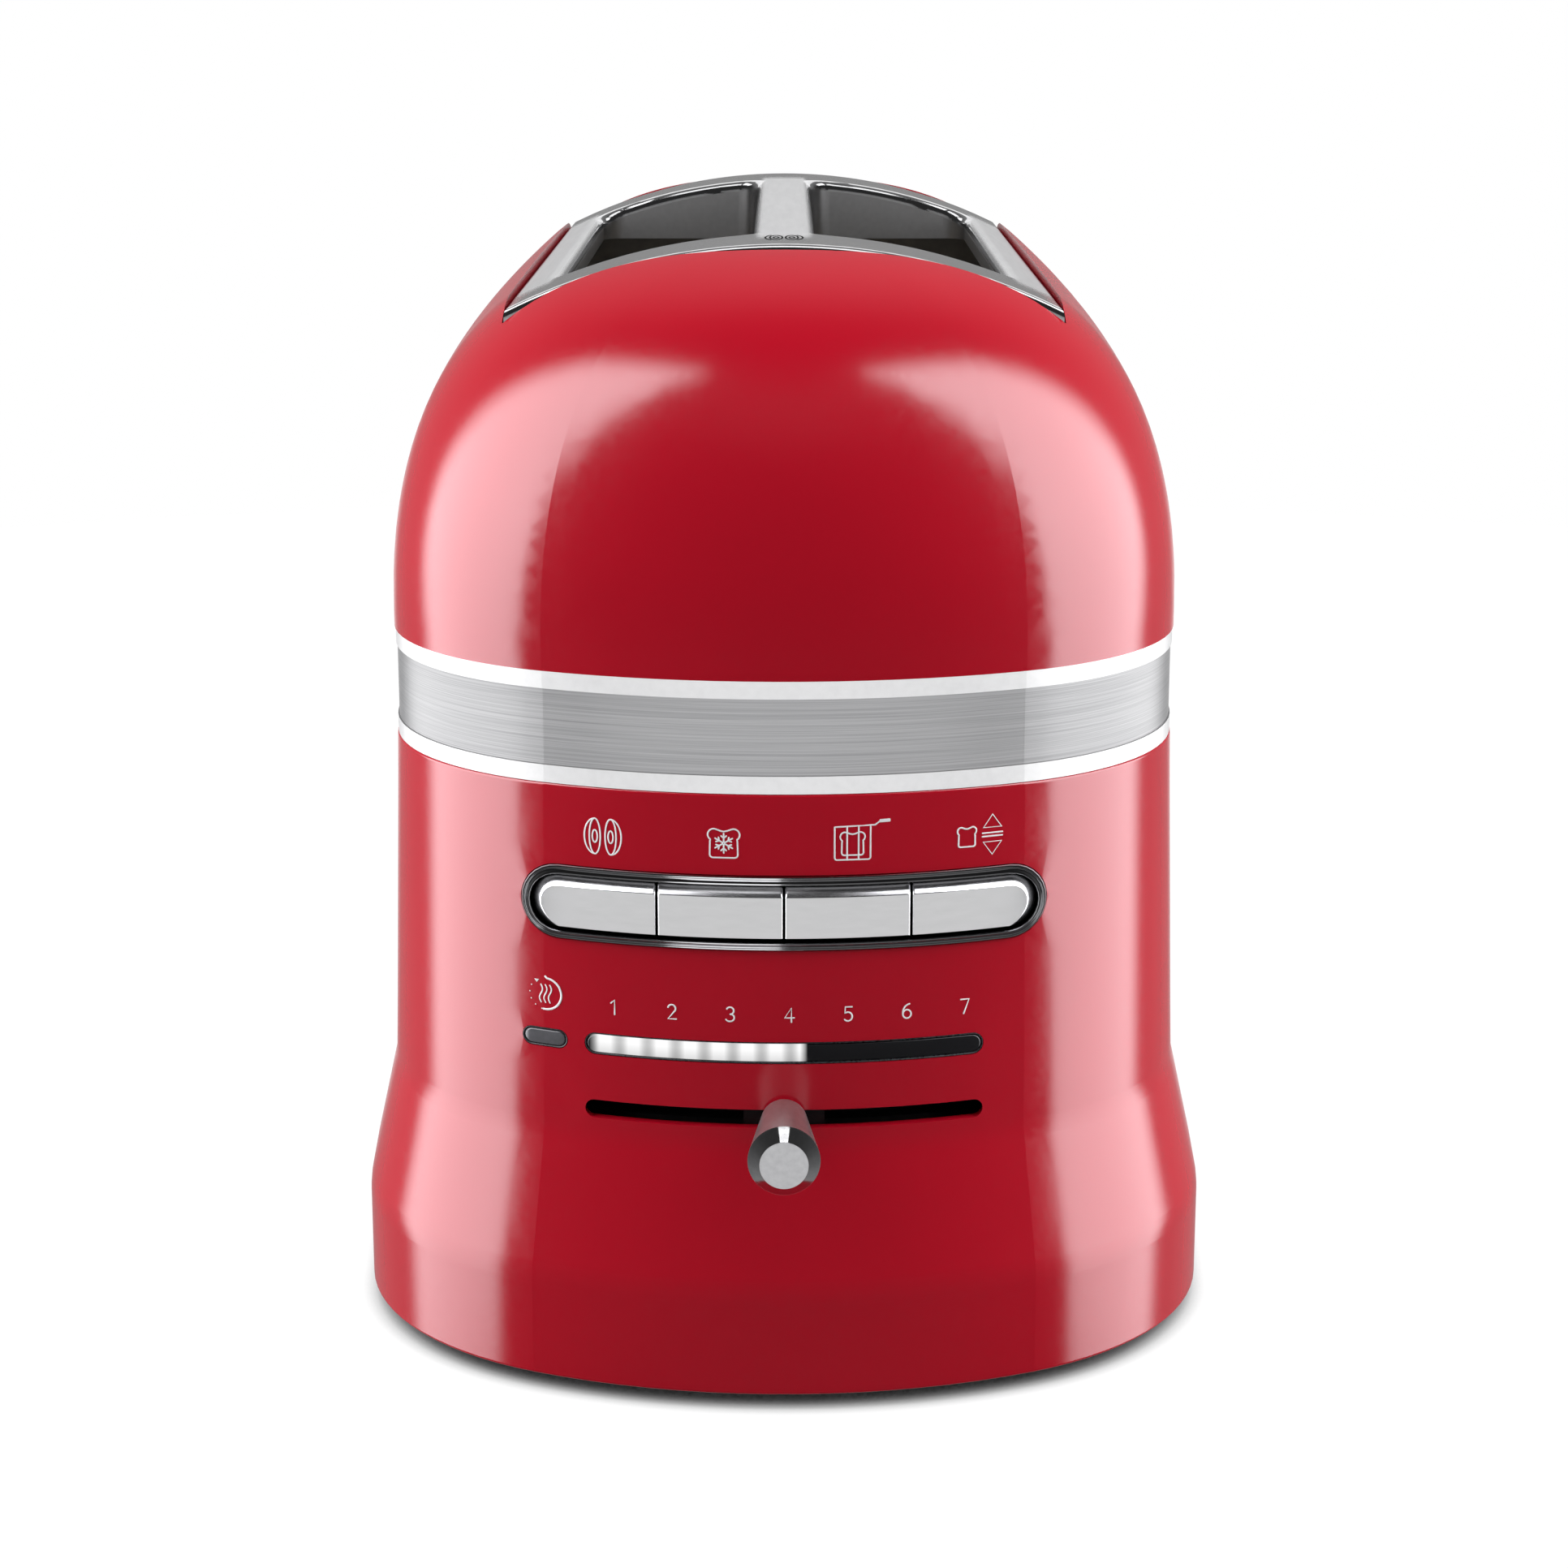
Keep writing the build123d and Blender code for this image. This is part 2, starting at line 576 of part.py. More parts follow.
# Top frame: an arched plate with lips at its edges and a collar round each bread slot
with BuildPart() as top_frame:
    collar_width = SLOT_WIDTH + 2 * FRAME_WALL
    collar_length = SLOT_LENGTH + 2 * FRAME_WALL
    with BuildSketch(level(FRAME_CROWN - COLLAR_DEPTH)):
        with Locations((-SLOT_X, 0), (SLOT_X, 0)):
            RectangleRounded(collar_width, collar_length, SLOT_CORNER + FRAME_WALL)
    extrude(amount=COLLAR_DEPTH)
    with BuildSketch(facing(-FAR)):
        with Locations((0, FRAME_CENTRE)):
            Circle(FRAME_RADIUS)
    extrude(amount=-2 * FAR, mode=Mode.INTERSECT)
    for depth, start, stop in (
        (FRAME_WALL, -FRAME_HALF_LENGTH, FRAME_HALF_LENGTH),
        (FRAME_LIP, -FRAME_HALF_LENGTH, FRAME_WALL - FRAME_HALF_LENGTH),
        (FRAME_LIP, FRAME_HALF_LENGTH - FRAME_WALL, FRAME_HALF_LENGTH),
    ):
        with BuildSketch(facing(stop)):
            with Locations((0, FRAME_CENTRE)):
                Circle(FRAME_RADIUS)
                Circle(FRAME_RADIUS - depth, mode=Mode.SUBTRACT)
            with Locations((0, FRAME_CROWN)):
                Rectangle(2 * FRAME_HALF_WIDTH, FRAME_RADIUS, mode=Mode.INTERSECT)
        extrude(amount=stop - start)
    for right in (-1, 1):
        block(
            (right * (FRAME_HALF_WIDTH - FRAME_WALL), right * FRAME_HALF_WIDTH),
            (-FRAME_HALF_LENGTH, FRAME_HALF_LENGTH),
            (FRAME_EDGE - FRAME_LIP, FRAME_EDGE),
        )
    with BuildSketch(level(FRAME_CROWN - COLLAR_DEPTH)):
        with Locations((-SLOT_X, 0), (SLOT_X, 0)):
            RectangleRounded(SLOT_WIDTH, SLOT_LENGTH, SLOT_CORNER)
    extrude(amount=2 * COLLAR_DEPTH, mode=Mode.SUBTRACT)
    arch = top_frame.faces().filter_by(GeomType.CYLINDER).sort_by(SortBy.AREA)[-1]
    fillet([edge for wire in arch.inner_wires() for edge in wire.edges()], COLLAR_ROUND)
    arch = top_frame.faces().filter_by(GeomType.CYLINDER).sort_by(SortBy.AREA)[-1]
    fillet(arch.outer_wire().edges(), FRAME_EDGE_ROUND)
top_frame.part.label = "top_frame"
export_step(top_frame.part, "parts/top_frame.step")

# Button bezel: an oblong ring through the panel, curved like it
with BuildPart() as button_bezel:
    ring = wall_ring(-BEZEL_DEPTH, BEZEL_PROUD, BUTTON_Z - BEZEL_HEIGHT, BUTTON_Z + BEZEL_HEIGHT)
    revolve(ring, axis=FRONT_AXIS)
    outer_fit = 2 * PANEL_FIT
    rim = stadium(0, BUTTON_Z, BEZEL_LENGTH - outer_fit, BEZEL_HEIGHT - outer_fit)
    extrude(rim, amount=FAR, mode=Mode.INTERSECT)
    opening = stadium(0, BUTTON_Z, BEZEL_LENGTH - 2 * BEZEL_RIM, BEZEL_HEIGHT - 2 * BEZEL_RIM)
    extrude(opening, amount=FAR, mode=Mode.SUBTRACT)
button_bezel.part.label = "button_bezel"
export_step(button_bezel.part, "parts/button_bezel.step")

# Four buttons in one oblong row, each bevelled above and below, with a stem towards its switch
with BuildSketch(side()) as button_profile:
    low = BUTTON_Z - BUTTON_HEIGHT / 2
    high = BUTTON_Z + BUTTON_HEIGHT / 2
    shelf = low + BUTTON_BEVEL / 2
    brow = high - BUTTON_BEVEL
    panel_reach = END_RADIUS - PANEL_AXIS_Y
    with BuildLine():
        Polyline(
            (panel_reach + wall_out(low) - BUTTON_DEPTH, low),
            (panel_reach + wall_out(low) + BUTTON_PROUD - BUTTON_BEVEL / 2, low),
            (panel_reach + wall_out(shelf) + BUTTON_PROUD, shelf),
            (panel_reach + wall_out(brow) + BUTTON_PROUD, brow),
            (panel_reach + wall_out(high) + BUTTON_PROUD - BUTTON_BEVEL, high),
            (panel_reach + wall_out(high) - BUTTON_DEPTH, high),
            close=True,
        )
    make_face()

BUTTONS = ("bagel_button", "defrost_button", "sandwich_button", "lift_button")
for button_name, button_x in zip(BUTTONS, BUTTON_XS):
    with BuildPart() as button:
        revolve(button_profile.sketch, axis=FRONT_AXIS)
        extrude(stadium(0, BUTTON_Z, BUTTON_LENGTH, BUTTON_HEIGHT), amount=FAR, mode=Mode.INTERSECT)
        half_cap = BUTTON_PITCH / 2 - BUTTON_GAP
        block((button_x - half_cap, button_x + half_cap), (-2 * FAR, 0), (0, DOME_CROWN), Mode.INTERSECT)
        stem_reach = END_RADIUS + wall_out(BUTTON_Z) - BUTTON_DEPTH + BUTTON_STEM_BITE
        stem_start = PANEL_AXIS_Y - math.sqrt(stem_reach**2 - button_x**2)
        spindle(button_x, BUTTON_Z, (stem_start, BUTTON_STEM_END), BUTTON_STEM_RADIUS)
    button.part.label = button_name
    export_step(button.part, f"parts/{button_name}.step")

# Lenses: a long one over the shade scale's lights and a small one for the keep-warm light
with BuildPart() as light_bar_lens:
    ring = wall_ring(-LAMP_DEPTH, LAMP_PROUD, LAMP_Z - LAMP_HEIGHT, LAMP_Z + LAMP_HEIGHT)
    revolve(ring, axis=FRONT_AXIS)
    lens = stadium(0, LAMP_Z, LAMP_LENGTH - outer_fit, LAMP_HEIGHT - outer_fit)
    extrude(lens, amount=FAR, mode=Mode.INTERSECT)
light_bar_lens.part.label = "light_bar_lens"
export_step(light_bar_lens.part, "parts/light_bar_lens.step")

with BuildPart() as keep_warm_lens:
    revolve(ring, axis=FRONT_AXIS)
    lens = stadium(KEEP_WARM_X, LAMP_Z, KEEP_WARM_LENGTH - outer_fit, KEEP_WARM_HEIGHT - outer_fit)
    extrude(lens, amount=FAR, mode=Mode.INTERSECT)
keep_warm_lens.part.label = "keep_warm_lens"
export_step(keep_warm_lens.part, "parts/keep_warm_lens.step")

# Shade knob: turned about its own axis, with a thin stem through the slot
with BuildPart() as shade_knob:
    with BuildSketch(side()):
        surface = SHADE_RADIUS - PANEL_AXIS_Y
        with BuildLine():
            Polyline(
                (CARRIER_OUTER - PANEL_AXIS_Y, SHADE_Z),
                (CARRIER_OUTER - PANEL_AXIS_Y, SHADE_Z + KNOB_STEM_RADIUS),
                (surface + KNOB_STAND, SHADE_Z + KNOB_STEM_RADIUS),
                (surface + KNOB_STAND, SHADE_Z + KNOB_NECK_RADIUS),
                (surface + KNOB_REACH - KNOB_BEVEL, SHADE_Z + KNOB_RADIUS),
                (surface + KNOB_REACH, SHADE_Z + KNOB_FACE_RADIUS),
                (surface + KNOB_REACH, SHADE_Z),
                close=True,
            )
        make_face()
    revolve(axis=Axis((0, BODY_Y, SHADE_Z), (0, 1, 0)))
shade_knob.part.label = "shade_knob"
export_step(shade_knob.part, "parts/shade_knob.step")

# Shade carrier: holds the knob's stem and runs round the track on a tongue
with BuildPart() as shade_carrier:
    half_height = CARRIER_HEIGHT / 2
    half_tongue = TONGUE_HEIGHT / 2
    head = ring_section(CARRIER_INNER, CARRIER_OUTER, SHADE_Z - half_height, SHADE_Z + half_height)
    tongue = ring_section(TONGUE_INNER, CARRIER_INNER, SHADE_Z - half_tongue, SHADE_Z + half_tongue)
    fan(head, CARRIER_HALF_ANGLE)
    fan(tongue, CARRIER_HALF_ANGLE)
shade_carrier.part.label = "shade_carrier"
export_step(shade_carrier.part, "parts/shade_carrier.step")

# Shade track: the grooved slide control on the board, curved like the panel
with BuildPart() as shade_track:
    half_track = TRACK_HEIGHT / 2
    half_groove = half_tongue + CLEARANCE
    groove_floor = TONGUE_INNER - CLEARANCE
    fan(ring_section(0, TRACK_OUTER, SHADE_Z - half_track, SHADE_Z + half_track), TRACK_HALF_ANGLE)
    groove = ring_section(groove_floor, TRACK_OUTER, SHADE_Z - half_groove, SHADE_Z + half_groove)
    revolve(groove, axis=FRONT_AXIS, mode=Mode.SUBTRACT)
    block((-FAR, FAR), (BOARD_Y, -2 * FAR), (0, DOME_CROWN), Mode.INTERSECT)
shade_track.part.label = "shade_track"
export_step(shade_track.part, "parts/shade_track.step")

# Control board, with its light guide and the four switches
with BuildPart() as control_board:
    block(
        (-BOARD_HALF_WIDTH, BOARD_HALF_WIDTH),
        (BOARD_Y, BOARD_Y + BOARD_WALL),
        (WAIST - BOARD_BELOW_WAIST, WAIST + BOARD_ABOVE_WAIST),
    )
control_board.part.label = "control_board"
export_step(control_board.part, "parts/control_board.step")

with BuildPart() as light_guide:
    half_guide = (LAMP_LENGTH - LAMP_HEIGHT) / 2
    half_lamp = LAMP_HEIGHT / 2 - PANEL_FIT
    block((-half_guide, half_guide), (BOARD_Y, -2 * FAR), (LAMP_Z - half_lamp, LAMP_Z + half_lamp))
    behind = wall_ring(-END_RADIUS, -LAMP_DEPTH - SEAT_GAP, LAMP_Z - LAMP_HEIGHT, LAMP_Z + LAMP_HEIGHT)
    revolve(behind, axis=FRONT_AXIS, mode=Mode.INTERSECT)
light_guide.part.label = "light_guide"
export_step(light_guide.part, "parts/light_guide.step")

with BuildPart() as button_switches:
    for button_x in BUTTON_XS:
        block(
            (button_x - SWITCH_SIZE / 2, button_x + SWITCH_SIZE / 2),
            (BOARD_Y - SWITCH_DEPTH, BOARD_Y),
            (BUTTON_Z - SWITCH_SIZE / 2, BUTTON_Z + SWITCH_SIZE / 2),
        )
button_switches.part.label = "button_switches"
export_step(button_switches.part, "parts/button_switches.step")

# Base plate inside the skirt, with two posts for the control board and rails for the crumb tray
with BuildPart() as base_plate:
    base_outline = outline_wire(body_sizes(SKIRT_OUT - SHELL_WALL - BASE_FIT), FOOT_HEIGHT)
    extrude(Face(base_outline), amount=BASE_WALL)
    for right in (-1, 1):
        block(
            (right * POST_X - POST_WIDTH / 2, right * POST_X + POST_WIDTH / 2),
            (BOARD_Y + BOARD_WALL / 2 - POST_DEPTH / 2, BOARD_Y + BOARD_WALL / 2 + POST_DEPTH / 2),
            (BASE_TOP, WAIST - BOARD_BELOW_WAIST),
        )
        block(
            (right * TRAY_WINDOW_X, right * (TRAY_WINDOW_X + RAIL_WIDTH)),
            (-OVEN_HALF, OVEN_HALF),
            (BASE_TOP, BASE_TOP + RAIL_HEIGHT),
        )
    for x, y in ledge_screws() + oven_screws():
        seat = FOOT_HEIGHT + SCREW_HEAD_HEIGHT
        post(x, y, (FOOT_HEIGHT, BASE_TOP), SCREW_RADIUS + SCREW_FIT, Mode.SUBTRACT)
        post(x, y, (FOOT_HEIGHT, seat), SCREW_HEAD_RADIUS + SCREW_FIT, Mode.SUBTRACT)
base_plate.part.label = "base_plate"
export_step(base_plate.part, "parts/base_plate.step")

with BuildPart() as rubber_feet:
    for right in (-1, 1):
        for rear in (-1, 1):
            post(right * FOOT_X, rear * FOOT_Y, (0, FOOT_HEIGHT), FOOT_RADIUS)
rubber_feet.part.label = "rubber_feet"
export_step(rubber_feet.part, "parts/rubber_feet.step")

with BuildPart() as base_screws:
    for x, y in ledge_screws() + oven_screws():
        post(x, y, (FOOT_HEIGHT, seat), SCREW_HEAD_RADIUS)
        post(x, y, (seat, seat + SCREW_GRIP), SCREW_RADIUS)
base_screws.part.label = "base_screws"
export_step(base_screws.part, "parts/base_screws.step")

# Crumb tray: an open sheet pan that slides out of the rear, with a handle shaped like the skirt
with BuildPart() as crumb_tray:
    tray_x = (-TRAY_HALF_WIDTH, TRAY_HALF_WIDTH)
    tray_y = (CLEARANCE - OVEN_HALF, TRAY_REAR)
    block(tray_x, tray_y, (TRAY_BOTTOM, TRAY_TOP))
    block(
        (tray_x[0] + TRAY_WALL, tray_x[1] - TRAY_WALL),
        (tray_y[0] + TRAY_WALL, tray_y[1] - TRAY_WALL),
        (TRAY_BOTTOM + TRAY_WALL, TRAY_TOP),
        Mode.SUBTRACT,
    )
crumb_tray.part.label = "crumb_tray"
export_step(crumb_tray.part, "parts/crumb_tray.step")

with BuildPart() as crumb_tray_handle:
    block(tray_x, (TRAY_REAR, 2 * FAR), (TRAY_BOTTOM, TRAY_TOP))
    post(0, -PANEL_AXIS_Y, (TRAY_BOTTOM, TRAY_TOP), SKIRT_RADIUS, Mode.INTERSECT)
    with BuildSketch(level(TRAY_BOTTOM)):
        with Locations((0, SKIRT_RADIUS - PANEL_AXIS_Y)):
            SlotOverall(2 * HANDLE_HALF_LENGTH, 2 * HANDLE_PROUD)
    extrude(amount=HANDLE_HEIGHT)
crumb_tray_handle.part.label = "crumb_tray_handle"
export_step(crumb_tray_handle.part, "parts/crumb_tray_handle.step")


def bulkhead_sheet(y):
    """Outline of an oven bulkhead, arched under the top frame and wider at its feet."""
    arch_radius = FRAME_RADIUS - FRAME_WALL - SEAT_GAP
    arch_edge = FRAME_CENTRE + math.sqrt(arch_radius**2 - OVEN_HALF_WIDTH**2)
    upwards = (Align.CENTER, Align.MIN)
    with BuildSketch(facing(y)) as sheet:
        with Locations((0, FRAME_CENTRE)):
            Circle(arch_radius)
        with Locations((0, arch_edge)):
            Rectangle(2 * OVEN_HALF_WIDTH, FRAME_RADIUS, align=upwards, mode=Mode.INTERSECT)
        with Locations((0, BASE_TOP)):
            Rectangle(2 * OVEN_HALF_WIDTH, arch_edge - BASE_TOP, align=upwards)
            Rectangle(2 * OVEN_FOOT_X, OVEN_FOOT_HEIGHT, align=upwards)
    return sheet.sketch


def bulkhead_details(rear):
    """Feet, arm slots and guide holes that both bulkheads have, at the front or at the rear."""
    for right in (-1, 1):
        block(
            (right * OVEN_HALF_WIDTH, right * OVEN_FOOT_X),
            (rear * (OVEN_HALF - OVEN_FOOT_DEPTH), rear * OVEN_HALF),
            (BASE_TOP, BASE_TOP + SHEET),
        )
        post(
            right * OVEN_SCREW_X,
            rear * OVEN_SCREW_Y,
            (BASE_TOP, BASE_TOP + SHEET),
            SCREW_RADIUS + SCREW_FIT,
            Mode.SUBTRACT,
        )
        block(
            (right * SLOT_X - ARM_HALF_WIDTH - CLEARANCE, right * SLOT_X + ARM_HALF_WIDTH + CLEARANCE),
            (rear * OVEN_HALF, rear * BULKHEAD_FRONT),
            (RACK_TOP - ARM_HEIGHT - LIFT_TRAVEL - CLEARANCE, RACK_TOP + CLEARANCE),
            Mode.SUBTRACT,
        )
        for x in (GUIDE_INNER_X, GUIDE_OUTER_X):
            through = (rear * OVEN_HALF, rear * BULKHEAD_FRONT)
            spindle(right * x, GUIDE_BOTTOM, through, GUIDE_WIRE + RUNNING_FIT, Mode.SUBTRACT)


# Front bulkhead, with tabs that hold the lift's guide rods
with BuildPart() as front_bulkhead:
    extrude(bulkhead_sheet(-OVEN_HALF), amount=SHEET)
    bulkhead_details(-1)
    for right in (-1, 1):
        for tab in ((ROD_BOTTOM - TAB_WALL, ROD_BOTTOM), (ROD_TOP, ROD_TOP + TAB_WALL)):
            block(
                (right * ROD_X - TAB_HALF_WIDTH, right * ROD_X + TAB_HALF_WIDTH),
                (ROD_Y - TAB_HALF_WIDTH, -BULKHEAD_FRONT),
                tab,
            )
front_bulkhead.part.label = "front_bulkhead"
export_step(front_bulkhead.part, "parts/front_bulkhead.step")

# Rear bulkhead, with a window for the crumb tray and stands for the power board
with BuildPart() as rear_bulkhead:
    extrude(bulkhead_sheet(BULKHEAD_FRONT), amount=SHEET)
    bulkhead_details(1)
    block(*tray_window, Mode.SUBTRACT)
    for x in (-STAND_X, STAND_X):
        for z in (POWER_BOTTOM + STAND_INSET, POWER_TOP - STAND_INSET):
            spindle(x, z, (BULKHEAD_FRONT, POWER_Y), STAND_RADIUS)
rear_bulkhead.part.label = "rear_bulkhead"
export_step(rear_bulkhead.part, "parts/rear_bulkhead.step")

# Reflectors close the oven's long sides
for side_name, right in (("left", -1), ("right", 1)):
    with BuildPart() as reflector:
        block(
            (right * REFLECTOR_X, right * (REFLECTOR_X + REFLECTOR_WALL)),
            (-OVEN_HALF, OVEN_HALF),
            (REFLECTOR_BOTTOM, REFLECTOR_TOP),
        )
    reflector.part.label = f"{side_name}_reflector"
    export_step(reflector.part, f"parts/{side_name}_reflector.step")

# Element boards between the bulkheads, and the heating ribbons on the faces towards the bread
RIBBON_STEP = (ELEMENT_TOP - ELEMENT_BOTTOM - 2 * RIBBON_MARGIN) / (RIBBON_COUNT - 1)
for element_name, element_x, faces in (
    ("left", -ELEMENT_OUTER_X, (1,)),
    ("centre", 0, (-1, 1)),
    ("right", ELEMENT_OUTER_X, (-1,)),
):
    with BuildPart() as element_board:
        block(
            (element_x - ELEMENT_WALL / 2, element_x + ELEMENT_WALL / 2),
            (-OVEN_HALF, OVEN_HALF),
            (ELEMENT_BOTTOM, ELEMENT_TOP),
        )
    element_board.part.label = f"{element_name}_element_board"
    export_step(element_board.part, f"parts/{element_name}_element_board.step")
    with BuildPart() as heating_ribbon:
        for towards in faces:
            skin = element_x + towards * ELEMENT_WALL / 2
            for turn in range(RIBBON_COUNT):
                ribbon_z = ELEMENT_BOTTOM + RIBBON_MARGIN + turn * RIBBON_STEP
                block(
                    (skin, skin + towards * RIBBON_WALL),
                    (-SLOT_LENGTH / 2, SLOT_LENGTH / 2),
                    (ribbon_z - RIBBON_WIDTH / 2, ribbon_z + RIBBON_WIDTH / 2),
                )
    heating_ribbon.part.label = f"{element_name}_heating_ribbon"
    export_step(heating_ribbon.part, f"parts/{element_name}_heating_ribbon.step")

# Bread guides: wire grilles that lean about their lowest wire, whose ends turn in the bulkheads
GUIDE_HALF = SLOT_LENGTH / 2 - GUIDE_END_SPARE
GUIDE_STEP = 2 * GUIDE_HALF / (GUIDE_BARS - 1)
for guide_name, guide_x in (
    ("left_outer_guide", -GUIDE_OUTER_X),
    ("left_inner_guide", -GUIDE_INNER_X),
    ("right_inner_guide", GUIDE_INNER_X),
    ("right_outer_guide", GUIDE_OUTER_X),
):
    with BuildPart() as guide:
        pin_end = BULKHEAD_FRONT + PIN_REACH
        spindle(guide_x, GUIDE_BOTTOM, (-pin_end, pin_end), GUIDE_WIRE)
        spindle(guide_x, GUIDE_TOP, (-GUIDE_HALF - GUIDE_WIRE, GUIDE_HALF + GUIDE_WIRE), GUIDE_WIRE)
        for bar in range(GUIDE_BARS):
            post(guide_x, bar * GUIDE_STEP - GUIDE_HALF, (GUIDE_BOTTOM, GUIDE_TOP), GUIDE_BAR_WIRE)
    guide.part.label = guide_name
    export_step(guide.part, f"parts/{guide_name}.step")

# Bread racks: pierced strips the slices stand on, with arms through the bulkheads
RACK_HALF = OVEN_HALF - RACK_END_SPARE
RACK_STEP = 2 * RACK_HALF / RACK_HOLES
for side_name, right in (("left", -1), ("right", 1)):
    with BuildPart() as bread_rack:
        rack_x = right * SLOT_X
        strip_x = (rack_x - RACK_HALF_WIDTH, rack_x + RACK_HALF_WIDTH)
        arm_x = (rack_x - ARM_HALF_WIDTH, rack_x + ARM_HALF_WIDTH)
        block(strip_x, (-RACK_HALF, RACK_HALF), (RACK_TOP - RACK_WALL, RACK_TOP))
        for hole in range(RACK_HOLES):
            hole_y = (hole + 0.5) * RACK_STEP - RACK_HALF
            post(rack_x, hole_y, (RACK_TOP - RACK_WALL, RACK_TOP), RACK_HOLE_RADIUS, Mode.SUBTRACT)
        block(arm_x, (CARRIAGE_Y, -RACK_HALF), (RACK_TOP - ARM_HEIGHT, RACK_TOP))
        block(arm_x, (RACK_HALF, BULKHEAD_FRONT + PIN_REACH), (RACK_TOP - ARM_HEIGHT, RACK_TOP))
    bread_rack.part.label = f"{side_name}_bread_rack"
    export_step(bread_rack.part, f"parts/{side_name}_bread_rack.step")

# Lift carriage: a plate between two sleeves that run on the guide rods
with BuildPart() as lift_carriage:
    block((-ROD_X, ROD_X), (PLATE_FRONT, CARRIAGE_Y), (CARRIAGE_BOTTOM, CARRIAGE_TOP))
    for rod_x in (-ROD_X, ROD_X):
        post(rod_x, ROD_Y, (CARRIAGE_BOTTOM, CARRIAGE_TOP), SLEEVE_RADIUS)
    for rod_x in (-ROD_X, ROD_X):
        post(rod_x, ROD_Y, (CARRIAGE_BOTTOM, CARRIAGE_TOP), ROD_RADIUS + RUNNING_FIT, Mode.SUBTRACT)
lift_carriage.part.label = "lift_carriage"
export_step(lift_carriage.part, "parts/lift_carriage.step")

with BuildPart() as guide_rods:
    for rod_x in (-ROD_X, ROD_X):
        post(rod_x, ROD_Y, (ROD_BOTTOM, ROD_TOP), ROD_RADIUS)
guide_rods.part.label = "guide_rods"
export_step(guide_rods.part, "parts/guide_rods.step")

# Toothed rack on the carriage, in mesh with the pinion: a gap of the rack faces a pinion tooth
with BuildPart() as toothed_rack:
    pitch_x = PINION_X + PITCH_RADIUS
    root_x = pitch_x + GEAR_DEDENDUM
    tip_x = pitch_x - GEAR_ADDENDUM
    half_pitch_tooth = (TOOTH_PITCH / 2 - GEAR_BACKLASH) / 2
    half_root = half_pitch_tooth + GEAR_DEDENDUM * math.tan(math.radians(PRESSURE_ANGLE))
    half_tip = half_pitch_tooth - GEAR_ADDENDUM * math.tan(math.radians(PRESSURE_ANGLE))
    first_tooth = -int(TOOTHED_SPARE / TOOTH_PITCH)
    last_tooth = int((LIFT_TRAVEL + TOOTHED_SPARE) / TOOTH_PITCH)
    bar_low = PINION_LEVEL - TOOTHED_SPARE
    bar_high = PINION_LEVEL + LIFT_TRAVEL + TOOTHED_SPARE
    with BuildSketch(facing(PLATE_FRONT)):
        with Locations((root_x + TOOTHED_BACK / 2, (bar_low + bar_high) / 2)):
            Rectangle(TOOTHED_BACK, bar_high - bar_low)
        for tooth in range(first_tooth, last_tooth):
            tooth_z = PINION_LEVEL + (tooth + 0.5) * TOOTH_PITCH
            with BuildLine():
                Polyline(
                    (root_x, tooth_z - half_root),
                    (tip_x, tooth_z - half_tip),
                    (tip_x, tooth_z + half_tip),
                    (root_x, tooth_z + half_root),
                    close=True,
                )
            make_face()
    extrude(amount=TOOTHED_WIDTH)
toothed_rack.part.label = "toothed_rack"
export_step(toothed_rack.part, "parts/toothed_rack.step")

# Pinion with involute teeth on the gearbox's shaft
with BuildPart() as drive_pinion:
    pinion_back = PLATE_FRONT - (TOOTHED_WIDTH - PINION_WIDTH) / 2
    root_radius = PITCH_RADIUS - GEAR_DEDENDUM
    base_radius = PITCH_RADIUS * math.cos(math.radians(PRESSURE_ANGLE))
    tip_radius = PITCH_RADIUS + GEAR_ADDENDUM
    flank = []
    for radius in (root_radius - GEAR_BACKLASH, base_radius, PITCH_RADIUS, tip_radius):
        half_angle = tooth_half_angle(max(radius, base_radius))
        flank.append((radius * math.cos(half_angle), radius * math.sin(half_angle)))
    tooth_outline = [(x, -y) for x, y in flank] + flank[::-1]
    with BuildSketch(facing(pinion_back)):
        with Locations((PINION_X, PINION_LEVEL)):
            Circle(root_radius)
            with PolarLocations(0, PINION_TEETH):
                Polygon(*tooth_outline, align=None)
    extrude(amount=PINION_WIDTH)
    spindle(PINION_X, PINION_LEVEL, (GEARBOX_Y - SHAFT_REACH, pinion_back), SHAFT_RADIUS)
drive_pinion.part.label = "drive_pinion"
export_step(drive_pinion.part, "parts/drive_pinion.step")

# Gearbox, motor and the bracket that carries them on the front bulkhead
with BuildPart() as lift_gearbox:
    block(
        (PINION_X - GEARBOX_WIDTH / 2, PINION_X + GEARBOX_WIDTH / 2),
        (GEARBOX_Y - GEARBOX_DEPTH, GEARBOX_Y),
        (PINION_LEVEL - GEARBOX_HEIGHT / 2, PINION_LEVEL + GEARBOX_HEIGHT / 2),
    )
    shaft_hole = (GEARBOX_Y - SHAFT_REACH - CLEARANCE, GEARBOX_Y)
    spindle(PINION_X, PINION_LEVEL, shaft_hole, SHAFT_RADIUS + RUNNING_FIT, Mode.SUBTRACT)
lift_gearbox.part.label = "lift_gearbox"
export_step(lift_gearbox.part, "parts/lift_gearbox.step")

with BuildPart() as lift_motor:
    motor_top = PINION_LEVEL - GEARBOX_HEIGHT / 2
    post(PINION_X, MOTOR_Y, (motor_top - MOTOR_LENGTH, motor_top), MOTOR_RADIUS)
lift_motor.part.label = "lift_motor"
export_step(lift_motor.part, "parts/lift_motor.step")

